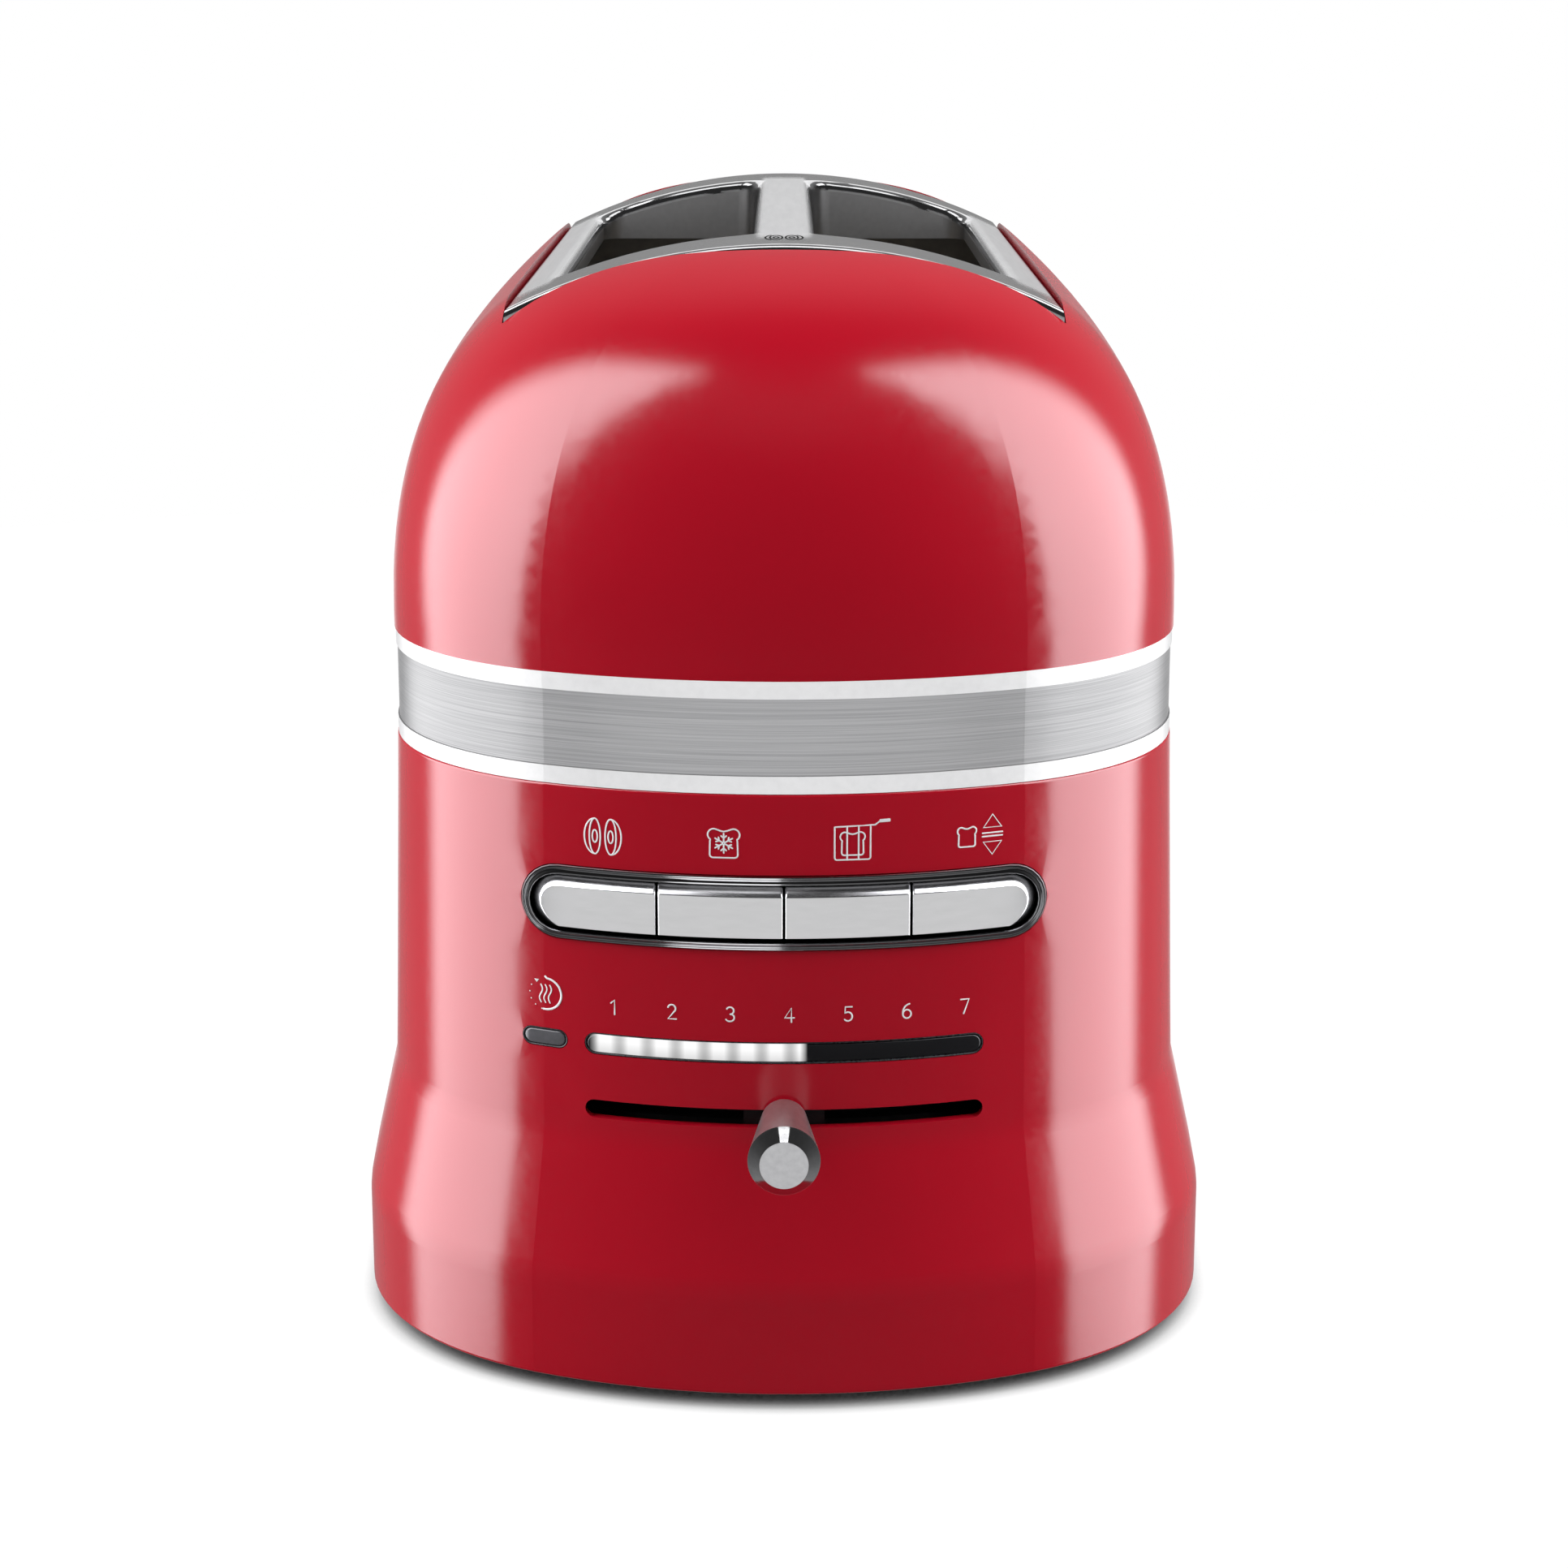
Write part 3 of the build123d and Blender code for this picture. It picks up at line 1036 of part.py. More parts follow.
with BuildPart() as motor_bracket:
    bracket_z = (PINION_LEVEL - BRACKET_HEIGHT / 2, PINION_LEVEL + BRACKET_HEIGHT / 2)
    block((-BRACKET_HALF_WIDTH, BRACKET_HALF_WIDTH), (GEARBOX_Y, BRACKET_Y), bracket_z)
    for right in (-1, 1):
        leg_x = (right * (BRACKET_HALF_WIDTH - BRACKET_WALL), right * BRACKET_HALF_WIDTH)
        block(leg_x, (BRACKET_Y, -BULKHEAD_FRONT), bracket_z)
    spindle(PINION_X, PINION_LEVEL, (GEARBOX_Y, BRACKET_Y), SHAFT_RADIUS + CLEARANCE, Mode.SUBTRACT)
motor_bracket.part.label = "motor_bracket"
export_step(motor_bracket.part, "parts/motor_bracket.step")

# Limit switches just past the carriage's two ends of travel
with BuildPart() as limit_switches:
    low_stop = CARRIAGE_BOTTOM - LIFT_TRAVEL - CLEARANCE
    high_stop = CARRIAGE_TOP + CLEARANCE
    for limit_z in ((low_stop - LIMIT_HEIGHT, low_stop), (high_stop, high_stop + LIMIT_HEIGHT)):
        limit_x = (LIMIT_X - LIMIT_WIDTH / 2, LIMIT_X + LIMIT_WIDTH / 2)
        block(limit_x, (PLATE_FRONT, -BULKHEAD_FRONT), limit_z)
limit_switches.part.label = "limit_switches"
export_step(limit_switches.part, "parts/limit_switches.step")

# Power board on the rear bulkhead's stands, and what stands on it
with BuildPart() as power_board:
    block(
        (-POWER_HALF_WIDTH, POWER_HALF_WIDTH),
        (POWER_Y, POWER_Y + BOARD_WALL),
        (POWER_BOTTOM, POWER_TOP),
    )
power_board.part.label = "power_board"
export_step(power_board.part, "parts/power_board.step")

for piece_name, piece_size, piece_at in (
    ("transformer", TRANSFORMER, TRANSFORMER_AT),
    ("relay", RELAY, RELAY_AT),
    ("terminal_block", TERMINALS, TERMINALS_AT),
):
    with BuildPart() as board_piece:
        block(
            (piece_at[0] - piece_size[0] / 2, piece_at[0] + piece_size[0] / 2),
            (POWER_Y + BOARD_WALL, POWER_Y + BOARD_WALL + piece_size[1]),
            (piece_at[1] - piece_size[2] / 2, piece_at[1] + piece_size[2] / 2),
        )
    board_piece.part.label = piece_name
    export_step(board_piece.part, f"parts/{piece_name}.step")

# Cord gland through the rear wall: two flanges on a neck, drawn at the front and mirrored to the rear
with BuildPart() as cord_gland:
    gland_low = GLAND_Z - 2 * GLAND_FLANGE_RADIUS
    gland_high = GLAND_Z + 2 * GLAND_FLANGE_RADIUS
    revolve(wall_ring(-SHELL_WALL - GLAND_FLANGE, GLAND_FLANGE, gland_low, gland_high), axis=FRONT_AXIS)
    flange = stadium(0, GLAND_Z, 2 * GLAND_FLANGE_RADIUS + PANEL_FIT, 2 * GLAND_FLANGE_RADIUS)
    extrude(flange, amount=FAR, mode=Mode.INTERSECT)
    wall_gap = wall_ring(-SHELL_WALL - PANEL_FIT, PANEL_FIT, gland_low, gland_high)
    revolve(wall_gap, axis=FRONT_AXIS, mode=Mode.SUBTRACT)
    neck_middle = PANEL_AXIS_Y - END_RADIUS - wall_out(GLAND_Z) + SHELL_WALL / 2
    neck_half = SHELL_WALL / 2 + GLAND_FLANGE / 2
    spindle(0, GLAND_Z, (neck_middle - neck_half, neck_middle + neck_half), GLAND_NECK_RADIUS)
    spindle(0, GLAND_Z, (-2 * FAR, 0), GLAND_BORE_RADIUS, Mode.SUBTRACT)
    mirror(about=facing(0), mode=Mode.REPLACE)
cord_gland.part.label = "cord_gland"
export_step(cord_gland.part, "parts/cord_gland.step")
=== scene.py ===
import bmesh
import bpy
import json
import math
from mathutils import Matrix, Vector

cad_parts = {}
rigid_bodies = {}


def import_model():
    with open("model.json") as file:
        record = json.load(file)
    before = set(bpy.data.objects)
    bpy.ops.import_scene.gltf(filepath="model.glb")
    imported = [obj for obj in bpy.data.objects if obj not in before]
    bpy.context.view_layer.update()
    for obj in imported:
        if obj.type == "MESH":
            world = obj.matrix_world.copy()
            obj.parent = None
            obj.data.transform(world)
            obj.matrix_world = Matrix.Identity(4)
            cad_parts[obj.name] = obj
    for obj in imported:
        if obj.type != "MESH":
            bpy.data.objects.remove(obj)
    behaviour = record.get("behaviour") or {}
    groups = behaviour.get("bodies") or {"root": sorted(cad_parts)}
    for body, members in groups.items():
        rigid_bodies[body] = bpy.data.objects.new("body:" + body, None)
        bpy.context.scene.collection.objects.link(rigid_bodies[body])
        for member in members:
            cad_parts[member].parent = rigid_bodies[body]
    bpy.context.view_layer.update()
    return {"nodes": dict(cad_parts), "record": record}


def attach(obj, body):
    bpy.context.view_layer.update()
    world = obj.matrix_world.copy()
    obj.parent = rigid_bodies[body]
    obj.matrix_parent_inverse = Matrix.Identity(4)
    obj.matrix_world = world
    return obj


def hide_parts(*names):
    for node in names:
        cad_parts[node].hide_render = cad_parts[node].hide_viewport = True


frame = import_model()
nodes = frame["nodes"]

# Sizes shared with the CAD model, in millimetres
MM = 0.001
BODY_Y = 6.9196
END_RADIUS = 107.6
PANEL_AXIS_Y = -43.0
WAIST = 50.0
WAIST_OUT = 2.2
PANEL_DRAFT = 2.05 / 66.3
SHOULDER = 116.3
BAND_TOP = 137.1
BAND_RIM = 3.3
FRAME_RADIUS = 119.0
FRAME_TOP = (194.0, 197.0)
CENTRE_BAR_HALF = 6.0
STRIP_INNER = 43.4
SLOT_HALF_LENGTH = 79.0
BUTTON_Z = 94.2
BEZEL_HALF_LENGTH = 48.5
BEZEL_HALF_HEIGHT = 7.0
BUTTON_HALF_LENGTH = 46.4
BUTTON_HALF_HEIGHT = 4.9
BUTTON_PITCH = 23.2
BUTTON_GAP = 0.4
LAMP_Z = 67.8
LAMP_HALF_LENGTH = 36.8
LAMP_HALF_HEIGHT = 2.0
FIRST_LIGHT = 35.6
LIGHT_PITCH = 5.25
GLOW_START = (-36.0, -34.4)
GLOW_STOP = (2.9, 4.3)
KEEP_WARM_X = -44.4
KEEP_WARM_HALF_LENGTH = 4.25
KEEP_WARM_HALF_HEIGHT = 1.75
KNOB_TIP = BODY_Y - 176.64


def panel_point(x, z, out):
    """Point on the drafted front panel, a distance out from its face, in metres."""
    reach = END_RADIUS + WAIST_OUT - PANEL_DRAFT * (z - WAIST) + out
    return Vector((x, BODY_Y + PANEL_AXIS_Y - math.sqrt(reach**2 - x**2), z)) * MM


# Materials

def new_material(name, color, metallic, roughness, **sockets):
    """Principled material with plain values on the sockets named."""
    material = bpy.data.materials.new(name)
    material.use_nodes = True
    shader = material.node_tree.nodes["Principled BSDF"]
    shader.inputs["Base Color"].default_value = (*color, 1)
    shader.inputs["Metallic"].default_value = metallic
    shader.inputs["Roughness"].default_value = roughness
    for key, value in sockets.items():
        shader.inputs[key.replace("_", " ")].default_value = value
    return material


def add_node(material, kind, **values):
    node = material.node_tree.nodes.new(kind)
    for key, value in values.items():
        setattr(node, key, value)
    return node


def link(material, source, target):
    material.node_tree.links.new(source, target)


def shader_of(material):
    return material.node_tree.nodes["Principled BSDF"]


def position(material, scale=(1, 1, 1)):
    """Place on the object in its own frame, scaled along each axis."""
    coords = add_node(material, "ShaderNodeTexCoord")
    mapping = add_node(material, "ShaderNodeMapping")
    mapping.inputs["Scale"].default_value = scale
    link(material, coords.outputs["Object"], mapping.inputs["Vector"])
    return mapping.outputs["Vector"]


def noise(material, scale, detail=3.0, roughness=0.5):
    """Noise at a scale per metre along each axis."""
    texture = add_node(material, "ShaderNodeTexNoise")
    texture.inputs["Scale"].default_value = 1.0
    texture.inputs["Detail"].default_value = detail
    texture.inputs["Roughness"].default_value = roughness
    link(material, position(material, scale), texture.inputs["Vector"])
    return texture.outputs["Fac"]


def ramp(material, source, stops):
    """Colour ramp over a value."""
    node = add_node(material, "ShaderNodeValToRGB")
    elements = node.color_ramp.elements
    while len(elements) < len(stops):
        elements.new(0.5)
    for element, (place, color) in zip(elements, stops):
        element.position = place
        element.color = (*color, 1)
    link(material, source, node.inputs["Fac"])
    return node.outputs["Color"]


def spread(material, source, low, high, start=0.3, stop=0.7):
    """Value stretched to a range."""
    node = add_node(material, "ShaderNodeMapRange")
    node.inputs["From Min"].default_value = start
    node.inputs["From Max"].default_value = stop
    node.inputs["To Min"].default_value = low
    node.inputs["To Max"].default_value = high
    link(material, source, node.inputs["Value"])
    return node.outputs["Result"]


def blend_colors(material, share, first, second):
    node = add_node(material, "ShaderNodeMix", data_type="RGBA")
    link(material, share, node.inputs["Factor"])
    link(material, first, node.inputs["A"])
    link(material, second, node.inputs["B"])
    return node.outputs["Result"]


def add_bump(material, height, strength, distance):
    node = add_node(material, "ShaderNodeBump")
    node.inputs["Strength"].default_value = strength
    node.inputs["Distance"].default_value = distance
    link(material, height, node.inputs["Height"])
    link(material, node.outputs["Normal"], shader_of(material).inputs["Normal"])


def color_from(material, color):
    link(material, color, shader_of(material).inputs["Base Color"])


def rough_from(material, value):
    link(material, value, shader_of(material).inputs["Roughness"])


def shade(color, amount):
    return tuple(channel * amount for channel in color)


def grained(name, color, metallic, roughness, scale, change=0.12, bump=0.1, depth=0.0001, **sockets):
    """Material with noise at one scale in its colour, gloss and surface."""
    material = new_material(name, color, metallic, roughness, **sockets)
    grain = noise(material, scale)
    stops = [(0.3, shade(color, 1 - change)), (0.7, shade(color, 1 + change))]
    color_from(material, ramp(material, grain, stops))
    rough_from(material, spread(material, grain, roughness * 0.88, roughness * 1.12))
    add_bump(material, grain, bump, depth)
    return material


def axis_value(material, axis):
    """One coordinate of the place on the object, in millimetres."""
    split = add_node(material, "ShaderNodeSeparateXYZ")
    link(material, position(material, (1 / MM, 1 / MM, 1 / MM)), split.inputs["Vector"])
    return split.outputs[axis]


def math_node(material, operation, *values):
    node = add_node(material, "ShaderNodeMath", operation=operation)
    for socket, value in zip(node.inputs, values):
        if isinstance(value, (int, float)):
            socket.default_value = value
        else:
            link(material, value, socket)
    return node.outputs["Value"]


def red_paint():
    """Gloss enamel with faint orange peel."""
    color = (0.41, 0.003, 0.014)
    material = new_material("red_enamel", color, 0.0, 0.17, Specular_IOR_Level=1.0)
    cloud = noise(material, (14, 14, 14), detail=2.0)
    color_from(material, ramp(material, cloud, [(0.3, shade(color, 0.95)), (0.7, shade(color, 1.05))]))
    peel = noise(material, (900, 900, 900), detail=2.0)
    rough_from(material, spread(material, peel, 0.15, 0.19))
    add_bump(material, peel, 0.02, 0.0001)
    return material


def band_metal():
    """Brushed band with a plain bright rim above and below."""
    material = new_material("brushed_band", (0.62, 0.62, 0.63), 1.0, 0.34)
    streaks = noise(material, (18, 18, 5200), detail=6.0, roughness=0.7)
    brushed = ramp(material, streaks, [(0.28, (0.32, 0.32, 0.33)), (0.72, (0.56, 0.56, 0.57))])
    fine = noise(material, (600, 600, 600))
    rim = ramp(material, fine, [(0.3, (0.92, 0.92, 0.93)), (0.7, (0.97, 0.97, 0.98))])
    middle = (SHOULDER + BAND_TOP) / 2
    level = math_node(material, "SUBTRACT", axis_value(material, "Z"), middle)
    away = math_node(material, "ABSOLUTE", level)
    edge = (BAND_TOP - SHOULDER) / 2 - BAND_RIM
    on_rim = spread(material, away, 0.0, 1.0, edge - 0.05, edge + 0.05)
    color_from(material, blend_colors(material, on_rim, brushed, rim))
    rough_from(material, spread(material, on_rim, 0.34, 0.42, 0.0, 1.0))
    add_bump(material, streaks, 0.10, 0.0001)
    return material


def frame_metal():
    """Polished frame, satin along the middle bar and the side strips and dull on the upright walls."""
    material = new_material("frame_chrome", (0.62, 0.62, 0.63), 1.0, 0.10)
    fine = noise(material, (700, 60, 700))
    polished = ramp(material, fine, [(0.3, (0.58, 0.58, 0.59)), (0.7, (0.62, 0.62, 0.63))])
    satin = ramp(material, fine, [(0.3, (0.52, 0.52, 0.53)), (0.7, (0.58, 0.58, 0.59))])
    across = math_node(material, "ABSOLUTE", axis_value(material, "X"))
    from_middle = math_node(material, "SUBTRACT", axis_value(material, "Y"), BODY_Y)
    along = math_node(material, "ABSOLUTE", from_middle)
    on_bar = spread(material, across, 1.0, 0.0, CENTRE_BAR_HALF - 1.6, CENTRE_BAR_HALF - 0.2)
    on_strip = spread(material, across, 0.0, 1.0, STRIP_INNER + 0.6, STRIP_INNER + 2.0)
    between = spread(material, along, 1.0, 0.0, SLOT_HALF_LENGTH - 2.0, SLOT_HALF_LENGTH + 14.0)
    top = spread(material, axis_value(material, "Z"), 0.0, 1.0, *FRAME_TOP)
    zone = math_node(material, "MULTIPLY", math_node(material, "MAXIMUM", on_bar, on_strip), between)
    zone = math_node(material, "MULTIPLY", zone, top)
    color_from(material, blend_colors(material, zone, polished, satin))
    face = add_node(material, "ShaderNodeNewGeometry")
    split = add_node(material, "ShaderNodeSeparateXYZ")
    link(material, face.outputs["Normal"], split.inputs["Vector"])
    upright = spread(material, math_node(material, "ABSOLUTE", split.outputs["Z"]), 1.0, 0.0, 0.15, 0.35)
    dull = math_node(material, "MAXIMUM", zone, upright)
    rough_from(material, spread(material, dull, 0.10, 0.36, 0.0, 1.0))
    add_bump(material, fine, 0.02, 0.0001)
    return material


def knob_metal():
    """Satin knob with a polished bevel round its face and a bead-blasted shaft."""
    material = new_material("knob_chrome", (0.82, 0.82, 0.84), 1.0, 0.2)
    turned = noise(material, (900, 260, 900))
    color_from(material, ramp(material, turned, [(0.3, (0.76, 0.76, 0.78)), (0.7, (0.86, 0.86, 0.88))]))
    depth = axis_value(material, "Y")
    off_face = spread(material, depth, 0.0, 1.0, KNOB_TIP + 0.02, KNOB_TIP + 0.12)
    on_shaft = spread(material, depth, 0.0, 1.0, KNOB_TIP + 2.4, KNOB_TIP + 2.7)
    on_bevel = math_node(material, "SUBTRACT", off_face, on_shaft)
    rough_from(material, spread(material, on_bevel, 0.32, 0.07, 0.0, 1.0))
    link(material, spread(material, on_shaft, 1.0, 0.5, 0.0, 1.0), shader_of(material).inputs["Metallic"])
    add_bump(material, turned, 0.02, 0.0001)
    return material


def lit_lens():
    """Dark lens over a row of lights, lit from the left end to a little past the middle."""
    material = new_material("light_bar_glow", (0.012, 0.012, 0.013), 0.0, 0.10)
    x = axis_value(material, "X")
    spot = math_node(material, "MULTIPLY", math_node(material, "ADD", x, FIRST_LIGHT), math.tau / LIGHT_PITCH)
    pulse = math_node(material, "SUBTRACT", 0, math_node(material, "COSINE", spot))
    level = spread(material, pulse, 0.56, 1.0, -1.0, 0.4)
    start = spread(material, x, 0.0, 1.0, *GLOW_START)
    stop = spread(material, x, 1.0, 0.0, *GLOW_STOP)
    rise = spread(material, axis_value(material, "Z"), 0.72, 1.0, LAMP_Z - 1.6, LAMP_Z + 0.6)
    glow = math_node(material, "MULTIPLY", level, math_node(material, "MULTIPLY", start, stop))
    glow = math_node(material, "MULTIPLY", glow, rise)
    shader = shader_of(material)
    shader.inputs["Emission Color"].default_value = (1.0, 1.0, 1.0, 1)
    link(material, glow, shader.inputs["Emission Strength"])
    dust = noise(material, (900, 900, 900))
    rough_from(material, spread(material, dust, 0.08, 0.16))
    return material


def board_green():
    """Solder mask with darker traces."""
    material = new_material("solder_mask", (0.02, 0.16, 0.06), 0.0, 0.35)
    traces = add_node(material, "ShaderNodeTexBrick")
    traces.inputs["Scale"].default_value = 1.0
    traces.inputs["Color1"].default_value = (0.02, 0.17, 0.06, 1)
    traces.inputs["Color2"].default_value = (0.025, 0.20, 0.07, 1)
    traces.inputs["Mortar"].default_value = (0.05, 0.28, 0.12, 1)
    traces.inputs["Mortar Size"].default_value = 0.04
    turn = add_node(material, "ShaderNodeMapping")
    turn.inputs["Rotation"].default_value = (math.pi / 2, 0, 0)
    link(material, position(material, (180, 180, 180)), turn.inputs["Vector"])
    link(material, turn.outputs["Vector"], traces.inputs["Vector"])
    color_from(material, traces.outputs["Color"])
    grain = noise(material, (500, 500, 500))
    rough_from(material, spread(material, grain, 0.3, 0.42))
    return material


def sheet_steel():
    """Rolled sheet with a faint heat tint towards the oven's top."""
    material = new_material("oven_sheet", (0.25, 0.25, 0.25), 1.0, 0.34)
    rolled = noise(material, (160, 14, 160), detail=4.0)
    plain = ramp(material, rolled, [(0.3, (0.34, 0.34, 0.34)), (0.7, (0.46, 0.46, 0.46))])
    tinted = ramp(material, rolled, [(0.3, (0.28, 0.26, 0.23)), (0.7, (0.40, 0.37, 0.33))])
    heat = spread(material, axis_value(material, "Z"), 0.0, 0.7, 60.0, 170.0)
    color_from(material, blend_colors(material, heat, plain, tinted))
    rough_from(material, spread(material, rolled, 0.28, 0.42))
    add_bump(material, rolled, 0.06, 0.0001)
    return material


FINE = (900, 900, 900)
MOULDED = (1200, 1200, 1200)
INKED = (1500, 1500, 1500)
LOOKS = {
    "red_paint": red_paint(),
    "band_aluminium": band_metal(),
    "chrome": frame_metal(),
    "dark_chrome": grained("bezel_chrome", (0.30, 0.30, 0.31), 1.0, 0.08, FINE, 0.05, 0.01),
    "button_metal": grained("button_satin", (0.88, 0.88, 0.89), 1.0, 0.20, (200, 200, 900), 0.025, 0.012),
    "lens": grained("smoked_lens", (0.10, 0.10, 0.105), 0.0, 0.12, FINE, 0.1, 0.02, Coat_Weight=0.5),
    "light_guide": grained("frosted_guide", (0.85, 0.85, 0.83), 0.0, 0.45, FINE, 0.04, 0.05),
    "black_plastic": grained(
        "moulded_black", (0.010, 0.010, 0.011), 0.0, 0.50, (1600, 1600, 1600), 0.2, 0.25,
        Specular_IOR_Level=0.3,
    ),
    "rubber": grained("foot_rubber", (0.022, 0.022, 0.023), 0.0, 0.75, MOULDED, 0.25, 0.35),
    "sheet_steel": sheet_steel(),
    "screw_steel": grained("zinc_plate", (0.52, 0.52, 0.54), 1.0, 0.30, FINE, 0.1, 0.06),
    "mica": grained("mica_board", (0.55, 0.47, 0.34), 0.0, 0.55, (260, 90, 260), 0.22, 0.2),
    "ribbon": grained("heating_ribbon", (0.20, 0.17, 0.15), 1.0, 0.48, (900, 200, 900), 0.2, 0.1),
    "board": board_green(),
    "white_plastic": grained("moulded_white", (0.78, 0.78, 0.75), 0.0, 0.42, MOULDED, 0.05, 0.15),
}
KNOB_LOOK = knob_metal()
GLOW_LOOK = lit_lens()
INK_LOOK = grained("printed_white", (0.88, 0.87, 0.86), 0.0, 0.5, INKED, 0.04, 0.1)
MARK_LOOK = grained("etched_mark", (0.04, 0.04, 0.042), 0.0, 0.6, INKED, 0.1, 0.1)
RIM_LOOK = grained("lens_gasket", (0.035, 0.035, 0.037), 0.0, 0.28, INKED, 0.2, 0.1)


def dress(node, look):
    nodes[node].data.materials.clear()
    nodes[node].data.materials.append(look)


finishes = {}
for subpart in frame["record"]["subparts"]:
    dress(subpart["node"], LOOKS[subpart["material_slot"]])
    finishes[nodes[subpart["node"]].name] = subpart["material_slot"]
dress("shade_knob", KNOB_LOOK)


# New pieces

MERGE_DISTANCE = 1e-7
OBLONG_STRAIGHT = 40
OBLONG_BEND = 14


def keep_piece(name, shape, look, body, slot):
    """Makes a finished shape an object that rides on a body and takes a slot's finish."""
    bmesh.ops.recalc_face_normals(shape, faces=shape.faces)
    mesh = bpy.data.meshes.new(name)
    shape.to_mesh(mesh)
    shape.free()
    mesh.materials.clear()
    mesh.materials.append(look)
    mesh.shade_smooth()
    piece = bpy.data.objects.new(name, mesh)
    bpy.context.scene.collection.objects.link(piece)
    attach(piece, body)
    finishes[piece.name] = slot
    return piece


def add_piece(name, points, faces, look, body, slot):
    """Closed mesh from its points and faces."""
    shape = bmesh.new()
    corners = [shape.verts.new(point) for point in points]
    for face in faces:
        shape.faces.new([corners[index] for index in face])
    bmesh.ops.remove_doubles(shape, verts=shape.verts, dist=MERGE_DISTANCE)
    bmesh.ops.dissolve_degenerate(shape, edges=shape.edges, dist=MERGE_DISTANCE)
    return keep_piece(name, shape, look, body, slot)


def loop_strip(first, second, count):
    """Quads between two closed loops of points."""
    return [
        (first + i, first + (i + 1) % count, second + (i + 1) % count, second + i) for i in range(count)
    ]


def oblong_loop(x, half_length, half_height, straight=OBLONG_STRAIGHT, bend=OBLONG_BEND):
    """Closed outline of an oblong with round ends, as offsets in X and Z."""
    run = half_length - half_height
    points = []
    for step in range(straight):
        points.append((x - run + 2 * run * step / straight, -half_height))
    for step in range(bend):
        angle = math.pi * (step / bend - 0.5)
        points.append((x + run + half_height * math.cos(angle), half_height * math.sin(angle)))
    for step in range(straight):
        points.append((x + run - 2 * run * step / straight, half_height))
    for step in range(bend):
        angle = math.pi * (step / bend + 0.5)
        points.append((x - run + half_height * math.cos(angle), half_height * math.sin(angle)))
    return points


def oblong_cap(first, straight=OBLONG_STRAIGHT, bend=OBLONG_BEND):
    """Ladder of faces that closes an oblong outline, from its left tip to its right."""
    count = 2 * (straight + bend)
    low = list(range(-bend // 2, straight + bend // 2 + 1))
    high = [2 * straight + bend - index for index in low]
    faces = []
    for step in range(len(low) - 1):
        ring = (low[step], low[step + 1], high[step + 1], high[step])
        faces.append(tuple(dict.fromkeys(first + index % count for index in ring)))
    return faces


def panel_ring(name, x, z, half_length, half_height, profile, look, slot):
    """Oblong ring on the panel: a closed profile of inset and height, carried round the oblong."""
    points = []
    for inset, out in profile:
        outline = oblong_loop(x, half_length - inset, half_height - inset)
        points += [panel_point(px, z + pz, out) for px, pz in outline]
    count = len(points) // len(profile)
    faces = []
    for index in range(len(profile)):
        faces += loop_strip(index * count, (index + 1) % len(profile) * count, count)
    return add_piece(name, points, faces, look, "housing", slot)


BEZEL_PROFILE = (
    (0.0, -6.5), (0.0, 0.05), (0.05, 0.28), (0.16, 0.50), (0.32, 0.64), (0.46, 0.66),
    (0.54, 0.60), (0.60, 0.45), (0.66, 0.38), (0.80, 0.40), (1.05, 0.62), (1.25, 0.82),
    (1.40, 0.90), (1.52, 0.88), (1.60, 0.74), (1.66, 0.45), (1.70, 0.0), (1.70, -6.5),
)
bezel = panel_ring(
    "button_bezel_ring", 0, BUTTON_Z, BEZEL_HALF_LENGTH, BEZEL_HALF_HEIGHT, BEZEL_PROFILE,
    LOOKS["dark_chrome"], "dark_chrome",
)
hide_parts("button_bezel")

# Each button is a row of columns from left to right; a column goes up the lower bevel, over the face and
# down the upper bevel, as shares of the bevel's width and heights over the panel
BUTTON_BEVEL = (
    (0.0, -7.0), (0.0, -0.90), (0.06, -0.62), (0.25, -0.30), (0.60, 0.30), (0.90, 0.78),
    (0.97, 0.87), (1.0, 0.89), (1.05, 0.90), (1.12, 0.90),
)
LOWER_BEVEL = 0.45
UPPER_BEVEL = 1.75
END_BEVEL = 1.6
SPLIT_EDGE = ((0.0, 0.30), (0.10, 0.09), (0.28, 0.0), (0.45, 0.0))


def button_columns(low, high, round_low, round_high, bend=14, straight=12):
    """Columns of a button: place, reach of a round end, share of the half height, drop of a square edge."""
    start = low + BUTTON_HALF_HEIGHT if round_low else low + SPLIT_EDGE[-1][0]
    stop = high - BUTTON_HALF_HEIGHT if round_high else high - SPLIT_EDGE[-1][0]
    turns = [math.pi / 2 * step / bend for step in range(bend)]
    columns = []
    if round_low:
        columns += [(start, -math.cos(turn), math.sin(turn), 0.0) for turn in turns]
    else:
        columns += [(low + step, 0.0, 1.0, drop) for step, drop in SPLIT_EDGE[:-1]]
    columns += [(start + (stop - start) * step / straight, 0.0, 1.0, 0.0) for step in range(straight + 1)]
    if round_high:
        columns += [(stop, math.cos(turn), math.sin(turn), 0.0) for turn in turns[::-1]]
    else:
        columns += [(high - step, 0.0, 1.0, drop) for step, drop in SPLIT_EDGE[-2::-1]]
    return columns


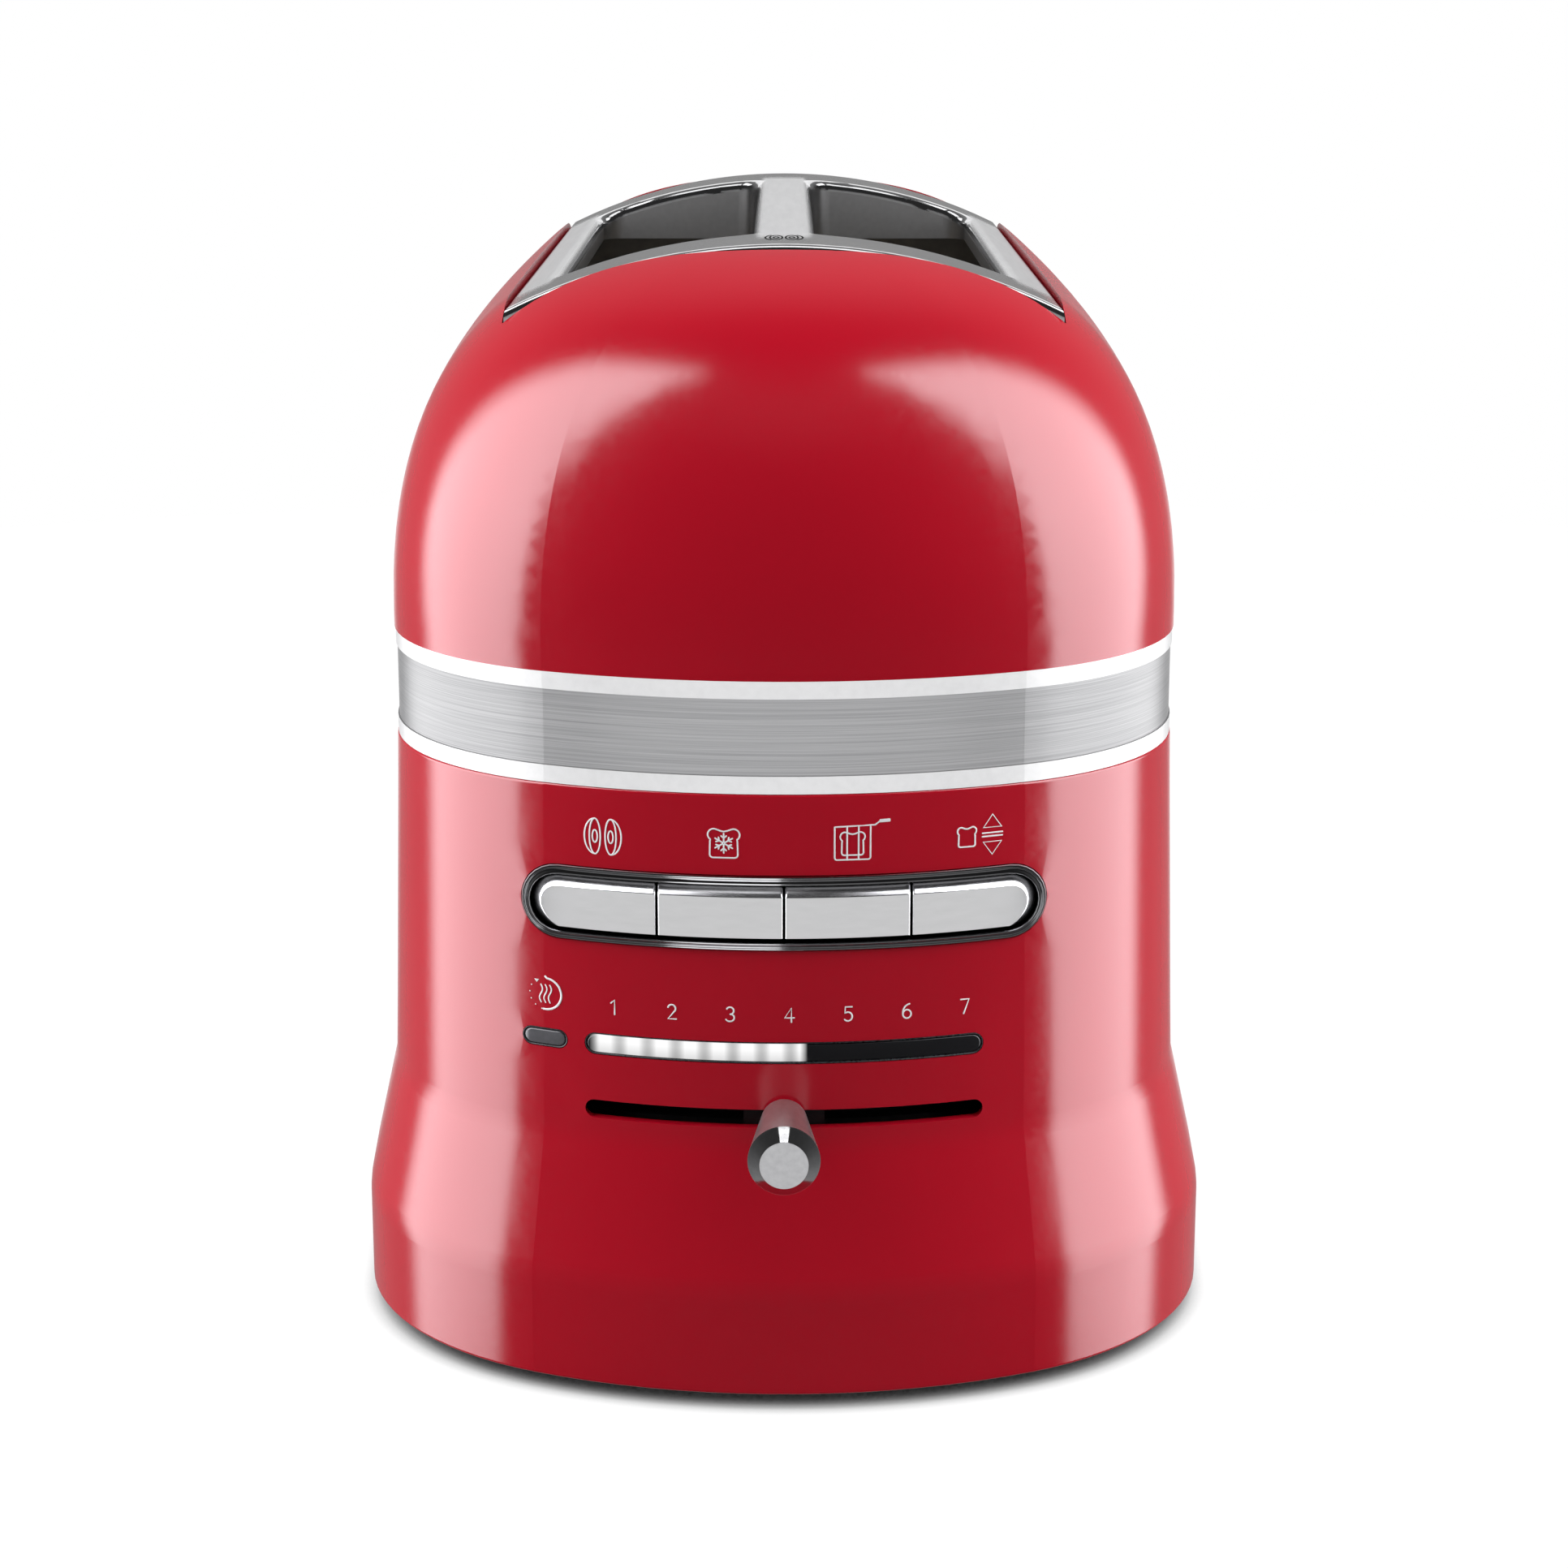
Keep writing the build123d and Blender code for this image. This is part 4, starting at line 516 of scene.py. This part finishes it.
def make_button(name, x, round_low, round_high):
    """Push button with a wide bevel above and round its outer end, that replaces the plain one."""
    half = (BUTTON_PITCH - BUTTON_GAP) / 2
    low = -BUTTON_HALF_LENGTH if round_low else x - half
    high = BUTTON_HALF_LENGTH if round_high else x + half
    columns = button_columns(low, high, round_low, round_high)
    points = []
    for place, ahead, share, drop in columns:
        for side, bevel, rows in ((-1, LOWER_BEVEL, BUTTON_BEVEL), (1, UPPER_BEVEL, BUTTON_BEVEL[::-1])):
            width = bevel + (END_BEVEL - bevel) * abs(ahead)
            for inset, out in rows:
                along = place + ahead * (BUTTON_HALF_HEIGHT - inset * END_BEVEL)
                height = side * share * (BUTTON_HALF_HEIGHT - inset * width)
                fall = drop if out > -1 else 0
                points.append(panel_point(along, BUTTON_Z + height, out - fall))
    rows = 2 * len(BUTTON_BEVEL)
    faces = []
    for column in range(len(columns) - 1):
        here, beside = column * rows, (column + 1) * rows
        for row in range(rows):
            after = (row + 1) % rows
            faces.append((here + row, beside + row, beside + after, here + after))
    if not round_low:
        faces.append(tuple(range(rows)))
    if not round_high:
        faces.append(tuple(range((len(columns) - 1) * rows, len(columns) * rows)))
    piece = add_piece(name + "_cap", points, faces, LOOKS["button_metal"], name, "button_metal")
    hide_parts(name)


BUTTONS = ("bagel_button", "defrost_button", "sandwich_button", "lift_button")
for index, button in enumerate(BUTTONS):
    make_button(button, (index - 1.5) * BUTTON_PITCH, index == 0, index == len(BUTTONS) - 1)

LENS_RIM = (
    (0.0, -3.5), (0.0, -0.06), (0.08, -0.05), (0.20, -0.12), (0.30, -0.35), (0.32, -3.5),
)


def make_lens(name, node, x, half_length, half_height, look):
    """Lens set back in its gasket, slightly crowned."""
    panel_ring(
        name + "_gasket", x, LAMP_Z, half_length, half_height, LENS_RIM, RIM_LOOK, "black_plastic"
    )
    inset = LENS_RIM[-1][0] + 0.02
    loops = (
        (0.0, -3.2), (0.0, -0.45), (0.04, -0.25), (0.12, -0.12), (0.24, -0.06), (0.34, -0.04),
        (half_height - inset - 0.02, 0.0),
    )
    points = []
    for step, out in loops:
        outline = oblong_loop(x, half_length - inset - step, half_height - inset - step)
        points += [panel_point(px, LAMP_Z + pz, out) for px, pz in outline]
    count = len(points) // len(loops)
    faces = []
    for index in range(len(loops) - 1):
        faces += loop_strip(index * count, (index + 1) * count, count)
    for index in (0, len(loops) - 1):
        faces += oblong_cap(index * count)
    piece = add_piece(name, points, faces, look, "housing", "lens")
    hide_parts(node)


# Printing on the panel: strokes drawn flat, then laid on the face

INK_FLATTEN = 0.22
INK_LIFT = 0.02


def arc(x, y, radius_x, radius_y, start, stop, count=16):
    """Points along an ellipse between two angles in degrees."""
    points = []
    for step in range(count + 1):
        angle = math.radians(start + (stop - start) * step / count)
        points.append((x + radius_x * math.cos(angle), y + radius_y * math.sin(angle)))
    return points


def print_strokes(name, strokes, width, place, look=INK_LOOK, body="housing", slot="white_plastic"):
    """Lines with round ends, as flat beads on a surface; each stroke is its points and whether it closes."""
    drawing = bpy.data.curves.new(name, "CURVE")
    drawing.dimensions = "3D"
    drawing.bevel_depth = width / 2
    drawing.bevel_resolution = 2
    drawing.use_fill_caps = True
    dots = []
    for points, closed in strokes:
        if len(points) > 1:
            spline = drawing.splines.new("POLY")
            spline.points.add(len(points) - 1)
            for point, (x, y) in zip(spline.points, points):
                point.co = (x, y, 0, 1)
            spline.use_cyclic_u = closed
        if not closed:
            dots += [points[0], points[-1]] if len(points) > 1 else [points[0]]
    holder = bpy.data.objects.new(name + "_drawing", drawing)
    bpy.context.scene.collection.objects.link(holder)
    bpy.context.view_layer.update()
    flat = bpy.data.meshes.new_from_object(holder.evaluated_get(bpy.context.evaluated_depsgraph_get()))
    bpy.data.objects.remove(holder)
    shape = bmesh.new()
    shape.from_mesh(flat)
    bpy.data.meshes.remove(flat)
    for x, y in dots:
        ball = bmesh.ops.create_icosphere(shape, subdivisions=2, radius=width / 2)
        bmesh.ops.translate(shape, verts=ball["verts"], vec=(x, y, 0))
    for vert in shape.verts:
        vert.co = place(vert.co.x, vert.co.y, INK_LIFT + vert.co.z * INK_FLATTEN)
    return keep_piece(name, shape, look, body, slot)


def on_panel(x, z):
    return lambda u, v, out: panel_point(x + u, z + v, out)


def bread(x, y, half_width, height):
    """Outline of a slice of bread with two lobes above."""
    w, h = half_width, height / 2
    right = [(0.0, 0.80 * h), (0.20 * w, 0.84 * h)]
    right += arc(0.62 * w, 0.58 * h, 0.38 * w, 0.40 * h, 115, -55, 12)
    right += [(0.86 * w, 0.12 * h)]
    right += arc(0.66 * w, -0.78 * h, 0.22 * w, 0.22 * h, 0, -90, 5)
    left = [(-px, py) for px, py in right[::-1] if px > 0]
    return [(x + px, y + py) for px, py in right + left]


def snowflake(radius):
    strokes = []
    for arm in range(6):
        angle = math.radians(60 * arm + 30)
        ux, uy = math.cos(angle), math.sin(angle)
        strokes.append(([(0.12 * radius * ux, 0.12 * radius * uy), (radius * ux, radius * uy)], False))
        for turn in (-1, 1):
            branch = angle + turn * math.radians(48)
            x, y = 0.52 * radius * ux, 0.52 * radius * uy
            tip = (x + 0.34 * radius * math.cos(branch), y + 0.34 * radius * math.sin(branch))
            strokes.append(([(x, y), tip], False))
    return strokes


def bagel_icon():
    strokes = []
    for side in (-1, 1):
        strokes.append((arc(side * 1.46, 0, 1.02, 3.3, 0, 354, 40), True))
        strokes.append((arc(side * 1.46, 0, 0.46, 1.15, 0, 350, 24), True))
        rim = arc(side * 1.46, 0, 1.95, 3.3, 90, 270 if side < 0 else -90, 24)
        strokes.append((rim, False))
    return strokes


def frozen_icon():
    return [(bread(0, 0, 2.9, 5.4), True)] + snowflake(1.8)


def sandwich_icon():
    frame_line = [(-3.25, 3.0), (-3.25, -2.6)] + arc(-2.8, -2.65, 0.45, 0.45, 180, 270, 4)
    frame_line += arc(2.8, -2.65, 0.45, 0.45, 270, 360, 4) + [(3.25, 3.0)]
    strokes = [(frame_line, False), ([(-3.25, 3.0), (4.1, 3.25), (5.0, 3.95)], False)]
    strokes += [([(5.0, 3.95 + lift), (6.7, 4.02 + lift)], False) for lift in (-0.16, 0.0, 0.16)]
    strokes += [([(place, 3.05), (place, -3.1)], False) for place in (-1.0, 1.1)]
    return strokes + [(bread(0, -0.1, 2.25, 4.3), True)]


def lift_icon():
    strokes = [(bread(-2.3, -0.1, 1.75, 3.7), True)]
    strokes.append(([(0.75, 1.35), (4.15, 1.35), (2.45, 3.75)], True))
    strokes.append(([(0.75, -1.35), (4.15, -1.35), (2.45, -3.75)], True))
    return strokes + [([(0.6, level), (4.3, level)], False) for level in (-0.32, 0.32)]


def keep_warm_icon():
    strokes = []
    for place in (-0.85, 0.0, 0.85):
        wave = [(place + 0.3 * math.sin(step / 12 * math.tau), 1.7 - 3.4 * step / 12) for step in range(13)]
        strokes.append((wave, False))
    for step in range(5):
        angle = math.radians(152 + 26 * step)
        strokes.append(([(3.0 * math.cos(angle), 3.0 * math.sin(angle))], False))
    return strokes


def digits():
    """Light numerals one to seven, in a box one high."""
    return [
        [([(-0.20, 0.28), (0.05, 0.5), (0.05, -0.5)], False)],
        [(arc(-0.01, 0.23, 0.26, 0.27, 165, -35, 14) + [(-0.27, -0.5), (0.29, -0.5)], False)],
        [
            (arc(-0.03, 0.25, 0.25, 0.25, 150, -85, 14), False),
            (arc(-0.05, -0.24, 0.30, 0.26, 80, -150, 16), False),
        ],
        [([(0.13, -0.5), (0.13, 0.5), (-0.32, -0.20), (0.31, -0.20)], False)],
        [([(0.24, 0.5), (-0.20, 0.5), (-0.24, 0.07)] + arc(-0.03, -0.18, 0.29, 0.31, 118, -140, 18), False)],
        [
            (arc(0.0, -0.20, 0.28, 0.30, 0, 354, 24), True),
            ([(-0.28, -0.2)] + arc(0.22, -0.10, 0.50, 0.60, 175, 96, 12), False),
        ],
        [([(-0.28, 0.5), (0.28, 0.5), (-0.08, -0.5)], False)],
    ]


ICON_Z = 107.2
ICON_WIDTH = 0.29
for icon_name, icon_x, icon in (
    ("bagel_icon", -33.0, bagel_icon()),
    ("defrost_icon", -10.9, frozen_icon()),
    ("sandwich_icon", 12.4, sandwich_icon()),
    ("lift_icon", 35.6, lift_icon()),
):
    print_strokes(icon_name, icon, ICON_WIDTH, on_panel(icon_x, ICON_Z))

DIGIT_HEIGHT = 2.7
DIGIT_PITCH = 10.77
DIGIT_SHIFT = 1.0
DIGIT_Z = 75.1
DIGIT_WIDTH = 0.30
for place, strokes in enumerate(digits()):
    grown = []
    for points, closed in strokes:
        grown.append(([(x * DIGIT_HEIGHT, y * DIGIT_HEIGHT) for x, y in points], closed))
    digit_x = (place - 3) * DIGIT_PITCH + DIGIT_SHIFT
    print_strokes(f"shade_number_{place + 1}", grown, DIGIT_WIDTH, on_panel(digit_x, DIGIT_Z))

keep_warm_place = on_panel(-44.2, 76.2)
clock = [(0.0, 3.3)] + arc(0, 0, 3.0, 3.0, 84, -98, 24)
arrow = [(-1.95, 2.55), (-1.35, 2.55), (-1.65, 2.15)]
print_strokes("keep_warm_icon", keep_warm_icon(), 0.26, keep_warm_place)
print_strokes("keep_warm_clock", [(clock, False)], 0.40, keep_warm_place)
print_strokes("keep_warm_arrow", [(arrow, True), ([(-1.65, 2.4)], False)], 0.3, keep_warm_place)

make_lens("light_bar", "light_bar_lens", 0, LAMP_HALF_LENGTH, LAMP_HALF_HEIGHT, GLOW_LOOK)
make_lens(
    "keep_warm_light", "keep_warm_lens", KEEP_WARM_X, KEEP_WARM_HALF_LENGTH, KEEP_WARM_HALF_HEIGHT,
    LOOKS["lens"],
)

# Bagel mark on the front end of the frame's middle bar, drawn long because it is seen at a low angle
MARK_Y = -89.0
MARK_STRETCH = 4.0
MARK_LIFT = 0.3
MARK_SPREAD = 1.5
MARK_WIDTH = 0.36


def on_frame(x, y, out):
    """Point over the frame's top face."""
    start = Vector((x, BODY_Y + MARK_Y + y * MARK_STRETCH, 2 * FRAME_RADIUS)) * MM
    _, place, _, _ = nodes["top_frame"].ray_cast(start, (0, 0, -1))
    return place + Vector((0, 0, out * MARK_LIFT * MM))


mark = []
for side in (-1, 1):
    centre = side * MARK_SPREAD
    mark.append((arc(centre, 0, 1.2, 1.2, 0, 352, 30), True))
    mark.append((arc(centre, 0, 0.5, 0.42, 0, 345, 16), True))
    mark.append((arc(centre, 0, 2.1, 1.45, 90 - side * 150, 90 - side * 30, 16), False))
print_strokes("bagel_mark", mark, MARK_WIDTH, on_frame, MARK_LOOK, "housing", "dark_chrome")

# Stage: floor, light and camera

FLOOR_RADIUS = 0.9
FLOOR_SIDES = 96
FLOOR_BOUNCE = (0.40, 0.40, 0.40)
FLOOR_SEEN = (0.05, 0.05, 0.05)
SHADOW_REACH = 0.007
SHADOW_RANGE = (0.20, 0.78)


def floor_paint():
    """Pale floor, white to the camera but for the shadow close to the object."""
    material = new_material(
        "pale_floor", FLOOR_BOUNCE, 0.0, 0.8, Specular_IOR_Level=0.0, Emission_Color=(1, 1, 1, 1)
    )
    seen = add_node(material, "ShaderNodeLightPath").outputs["Is Camera Ray"]
    tone = add_node(material, "ShaderNodeMix", data_type="RGBA")
    tone.inputs["A"].default_value = (*FLOOR_BOUNCE, 1)
    tone.inputs["B"].default_value = (*FLOOR_SEEN, 1)
    link(material, seen, tone.inputs["Factor"])
    color_from(material, tone.outputs["Result"])
    near = add_node(material, "ShaderNodeAmbientOcclusion", samples=16)
    near.inputs["Distance"].default_value = SHADOW_REACH
    clear = spread(material, near.outputs["AO"], 0.0, 1.0, *SHADOW_RANGE)
    glow = math_node(material, "MULTIPLY", seen, clear)
    link(material, glow, shader_of(material).inputs["Emission Strength"])
    return material


floor_mesh = bpy.data.meshes.new("floor")
turns = [math.tau * step / FLOOR_SIDES for step in range(FLOOR_SIDES)]
rim_points = [(FLOOR_RADIUS * math.cos(turn), FLOOR_RADIUS * math.sin(turn), 0.0) for turn in turns]
floor_mesh.from_pydata(rim_points, [], [tuple(range(FLOOR_SIDES))])
floor_mesh.materials.append(floor_paint())
floor = bpy.data.objects.new("floor", floor_mesh)
floor.visible_glossy = False
floor.visible_shadow = False
bpy.context.scene.collection.objects.link(floor)


def add_panel(name, place, wide, tall, size, radiance, receivers):
    """Soft rectangular panel with its sides along two directions, that shines on some of the objects."""
    light = bpy.data.lights.new(name, "AREA")
    light.shape = "RECTANGLE"
    light.size, light.size_y = size
    light.energy = math.pi * radiance * size[0] * size[1]
    lamp = bpy.data.objects.new(name, light)
    wide, tall = Vector(wide), Vector(tall)
    turn = Matrix((wide, tall, wide.cross(tall))).transposed()
    lamp.matrix_world = Matrix.Translation(place) @ turn.to_4x4()
    lamp.light_linking.receiver_collection = receivers
    lamp.visible_camera = False
    bpy.context.scene.collection.objects.link(lamp)
    return lamp


def lit_group(name, chosen):
    """Collection of the objects that a lamp shines on."""
    group = bpy.data.collections.new(name)
    for thing in bpy.context.scene.objects:
        if thing.type == "MESH" and chosen(thing.name, finishes.get(thing.name)):
            group.objects.link(thing)
    return group


# The side panels' glare is kept off the bare metal apart from the buttons; each metal has panels of its own
frame_name = nodes["top_frame"].name
knob_name = nodes["shade_knob"].name
bare_metal = ("band_aluminium", "chrome", "dark_chrome")
side_lit = lit_group("lit_from_the_sides", lambda _, slot: slot not in bare_metal)
front_lit = lit_group("lit_from_the_front", lambda _, slot: slot in ("chrome", "button_metal"))
top_lit = lit_group("lit_from_above", lambda name, slot: name == frame_name or slot == "sheet_steel")
red_lit = lit_group("red_lit", lambda _, slot: slot == "red_paint")
band_lit = lit_group("band_lit", lambda _, slot: slot == "band_aluminium")
frame_lit = lit_group("frame_lit", lambda name, _: name == frame_name)
bezel_lit = lit_group("bezel_lit", lambda name, _: name == bezel.name)
knob_lit = lit_group("knob_lit", lambda name, _: name == knob_name)

# Each side has one tall softbox that leans in over the object and reaches below the floor's level; its front
# edge leans back with height, and its upper back corner is masked off along a slant
ALONG_X, ALONG_Y, ALONG_Z = (1, 0, 0), (0, 1, 0), (0, 0, 1)
PANEL_LEAN = math.radians(26.6)
PANEL_FOOT = (0.77, 0.10)
PANEL_RADIANCE = 4.0
PANEL_COLOR = (0.96, 0.96, 1.0)
PANEL_LOW, PANEL_HIGH = -0.60, 1.18
PANEL_FRONT, PANEL_BACK = -0.62, 0.38
FRONT_EDGE = (-0.53, 0.06)
BACK_EDGE = 0.28
SLANT_EDGE = (0.437, -0.78)


def soft_edge(light, inside, width):
    """Share of the light that passes an edge, from a distance inside it."""
    return spread(light, inside, 0.0, 1.0, -width / 2, width / 2)


def mask_softbox(light, side):
    """Shapes a softbox's light by the place on its face."""
    light.use_nodes = True
    face = add_node(light, "ShaderNodeNewGeometry")
    parts = add_node(light, "ShaderNodeSeparateXYZ")
    link(light, face.outputs["Parametric"], parts.inputs["Vector"])
    ends = (PANEL_FRONT, PANEL_BACK) if side > 0 else (PANEL_BACK, PANEL_FRONT)
    along = spread(light, parts.outputs["X"], *ends, 0.0, 1.0)
    height = spread(light, parts.outputs["Y"], PANEL_LOW, PANEL_HIGH, 0.0, 1.0)
    front = math_node(light, "MULTIPLY_ADD", height, FRONT_EDGE[1], FRONT_EDGE[0])
    slant = math_node(light, "MULTIPLY_ADD", height, SLANT_EDGE[1], SLANT_EDGE[0])
    share = soft_edge(light, math_node(light, "SUBTRACT", along, front), 0.06)
    for inside, width in (
        (math_node(light, "SUBTRACT", BACK_EDGE, along), 0.16),
        (math_node(light, "SUBTRACT", slant, along), 0.12),
        (math_node(light, "SUBTRACT", PANEL_HIGH - 0.04, height), 0.08),
        (math_node(light, "SUBTRACT", height, PANEL_LOW + 0.08), 0.14),
    ):
        share = math_node(light, "MULTIPLY", share, soft_edge(light, inside, width))
    share = math_node(light, "MULTIPLY", share, spread(light, height, 0.80, 1.25, -0.45, 0.35))
    link(light, share, light.node_tree.nodes["Emission"].inputs["Strength"])


for side in (-1, 1):
    slope = Vector((-side * math.sin(PANEL_LEAN), 0, math.cos(PANEL_LEAN)))
    middle = (PANEL_LOW + PANEL_HIGH) / 2
    away = PANEL_FOOT[0] - (middle - PANEL_FOOT[1]) * math.tan(PANEL_LEAN)
    size = (PANEL_BACK - PANEL_FRONT, (PANEL_HIGH - PANEL_LOW) / math.cos(PANEL_LEAN))
    place = (side * away, (PANEL_FRONT + PANEL_BACK) / 2, middle)
    hand = "left" if side < 0 else "right"
    softbox = add_panel(f"{hand}_softbox", place, (0, side, 0), slope, size, PANEL_RADIANCE, side_lit)
    softbox.data.color = PANEL_COLOR
    mask_softbox(softbox.data, side)
add_panel("front_panel", (0, -1.5, -0.15), ALONG_X, ALONG_Z, (3.8, 1.4), 0.62, front_lit)
add_panel("band_panel", (0, -1.5, -0.15), ALONG_X, ALONG_Z, (3.0, 1.6), 0.90, band_lit)
add_panel("frame_back_panel", (0, 2.0, 1.35), (-1, 0, 0), ALONG_Z, (3.4, 1.7), 1.0, frame_lit)
for name, place, size, radiance in (
    ("dome_wash", (0, 0.75, 1.4), (1.2, 1.2), 4.6),
    ("front_wash", (0, -0.9, 1.3), (0.8, 0.6), 2.2),
):
    wash = add_panel(name, place, ALONG_X, ALONG_Y, size, radiance, red_lit)
    wash.visible_glossy = False
add_panel("frame_top_panel", (0, -0.1, 1.5), ALONG_X, ALONG_Y, (0.8, 0.5), 1.6, top_lit)
add_panel("bezel_wash", (0, -1.6, 0.0), ALONG_X, ALONG_Z, (4.0, 4.0), 0.27, bezel_lit)
add_panel("bezel_panel", (-0.33, -1.5, 0.0), ALONG_X, ALONG_Z, (0.62, 4.0), 2.4, bezel_lit)
add_panel("knob_top_panel", (0, -0.75, 1.2), ALONG_X, ALONG_Y, (0.5, 0.7), 1.6, knob_lit)
for side in (-1, 1):
    hand = "left" if side < 0 else "right"
    wide = (0, side, 0)
    add_panel(f"knob_{hand}_panel", (side * 1.2, -0.75, -0.1), wide, ALONG_Z, (0.7, 0.5), 1.6, knob_lit)
    add_panel(f"band_{hand}_panel", (side * 1.5, 0.2, -0.15), wide, ALONG_Z, (2.8, 1.6), 1.5, band_lit)
    add_panel(
        f"frame_{hand}_panel", (side * 0.85, 0.1, 1.45), ALONG_X, ALONG_Y, (0.7, 0.6), 2.0, frame_lit
    )

AMBIENT = 0.05
FRONT_REFLECTED = 0.03
BACK_REFLECTED = 0.28
BACKDROP = 0.72
world = bpy.data.worlds.new("studio")
world.use_nodes = True
bpy.context.scene.world = world


def smooth_spread(owner, source, low, high, start, stop):
    """Value stretched to a range with soft ends."""
    result = spread(owner, source, low, high, start, stop)
    result.node.interpolation_type = "SMOOTHSTEP"
    return result


# Camera rays see white; mirrors see a dim room, paler behind and white behind below the horizon; the rest is
# a little ambient light
background = world.node_tree.nodes["Background"]
background.inputs["Color"].default_value = (1, 1, 1, 1)
rays = add_node(world, "ShaderNodeLightPath").outputs
direction = add_node(world, "ShaderNodeTexCoord")
parts = add_node(world, "ShaderNodeSeparateXYZ")
link(world, direction.outputs["Generated"], parts.inputs["Vector"])
behind = smooth_spread(world, parts.outputs["Y"], FRONT_REFLECTED, BACK_REFLECTED, -0.2, 0.7)
backdrop = smooth_spread(world, parts.outputs["Y"], 0.0, BACKDROP, 0.88, 0.98)
low_down = smooth_spread(world, parts.outputs["Z"], 0.0, 1.0, 0.0, -0.2)
room = math_node(world, "ADD", behind, math_node(world, "MULTIPLY", backdrop, low_down))
clear = math_node(world, "MAXIMUM", rays["Is Camera Ray"], rays["Is Transmission Ray"])
matt = math_node(world, "SUBTRACT", AMBIENT, math_node(world, "MULTIPLY", rays["Is Glossy Ray"], AMBIENT))
mirrored = math_node(world, "MULTIPLY", rays["Is Glossy Ray"], room)
lit = math_node(world, "MAXIMUM", clear, math_node(world, "ADD", matt, mirrored))
link(world, lit, background.inputs["Strength"])

CAMERA_PITCH = 14.2
CAMERA_BACK = 718.6
CAMERA_HEIGHT = 262.0
PHOTO_SIDE = 1932.0
PHOTO_FOCAL = 4015.0
camera = bpy.data.cameras.new("photo_camera")
camera.sensor_width = 36.0
camera.lens = camera.sensor_width * PHOTO_FOCAL / PHOTO_SIDE
camera.clip_start = 0.01
camera.clip_end = 50.0
viewer = bpy.data.objects.new("photo_camera", camera)
viewer.location = Vector((0, BODY_Y - CAMERA_BACK, CAMERA_HEIGHT)) * MM
viewer.rotation_euler = (math.radians(90 - CAMERA_PITCH), 0, 0)
bpy.context.scene.collection.objects.link(viewer)
bpy.context.scene.camera = viewer
bpy.context.scene.view_settings.view_transform = "Standard"
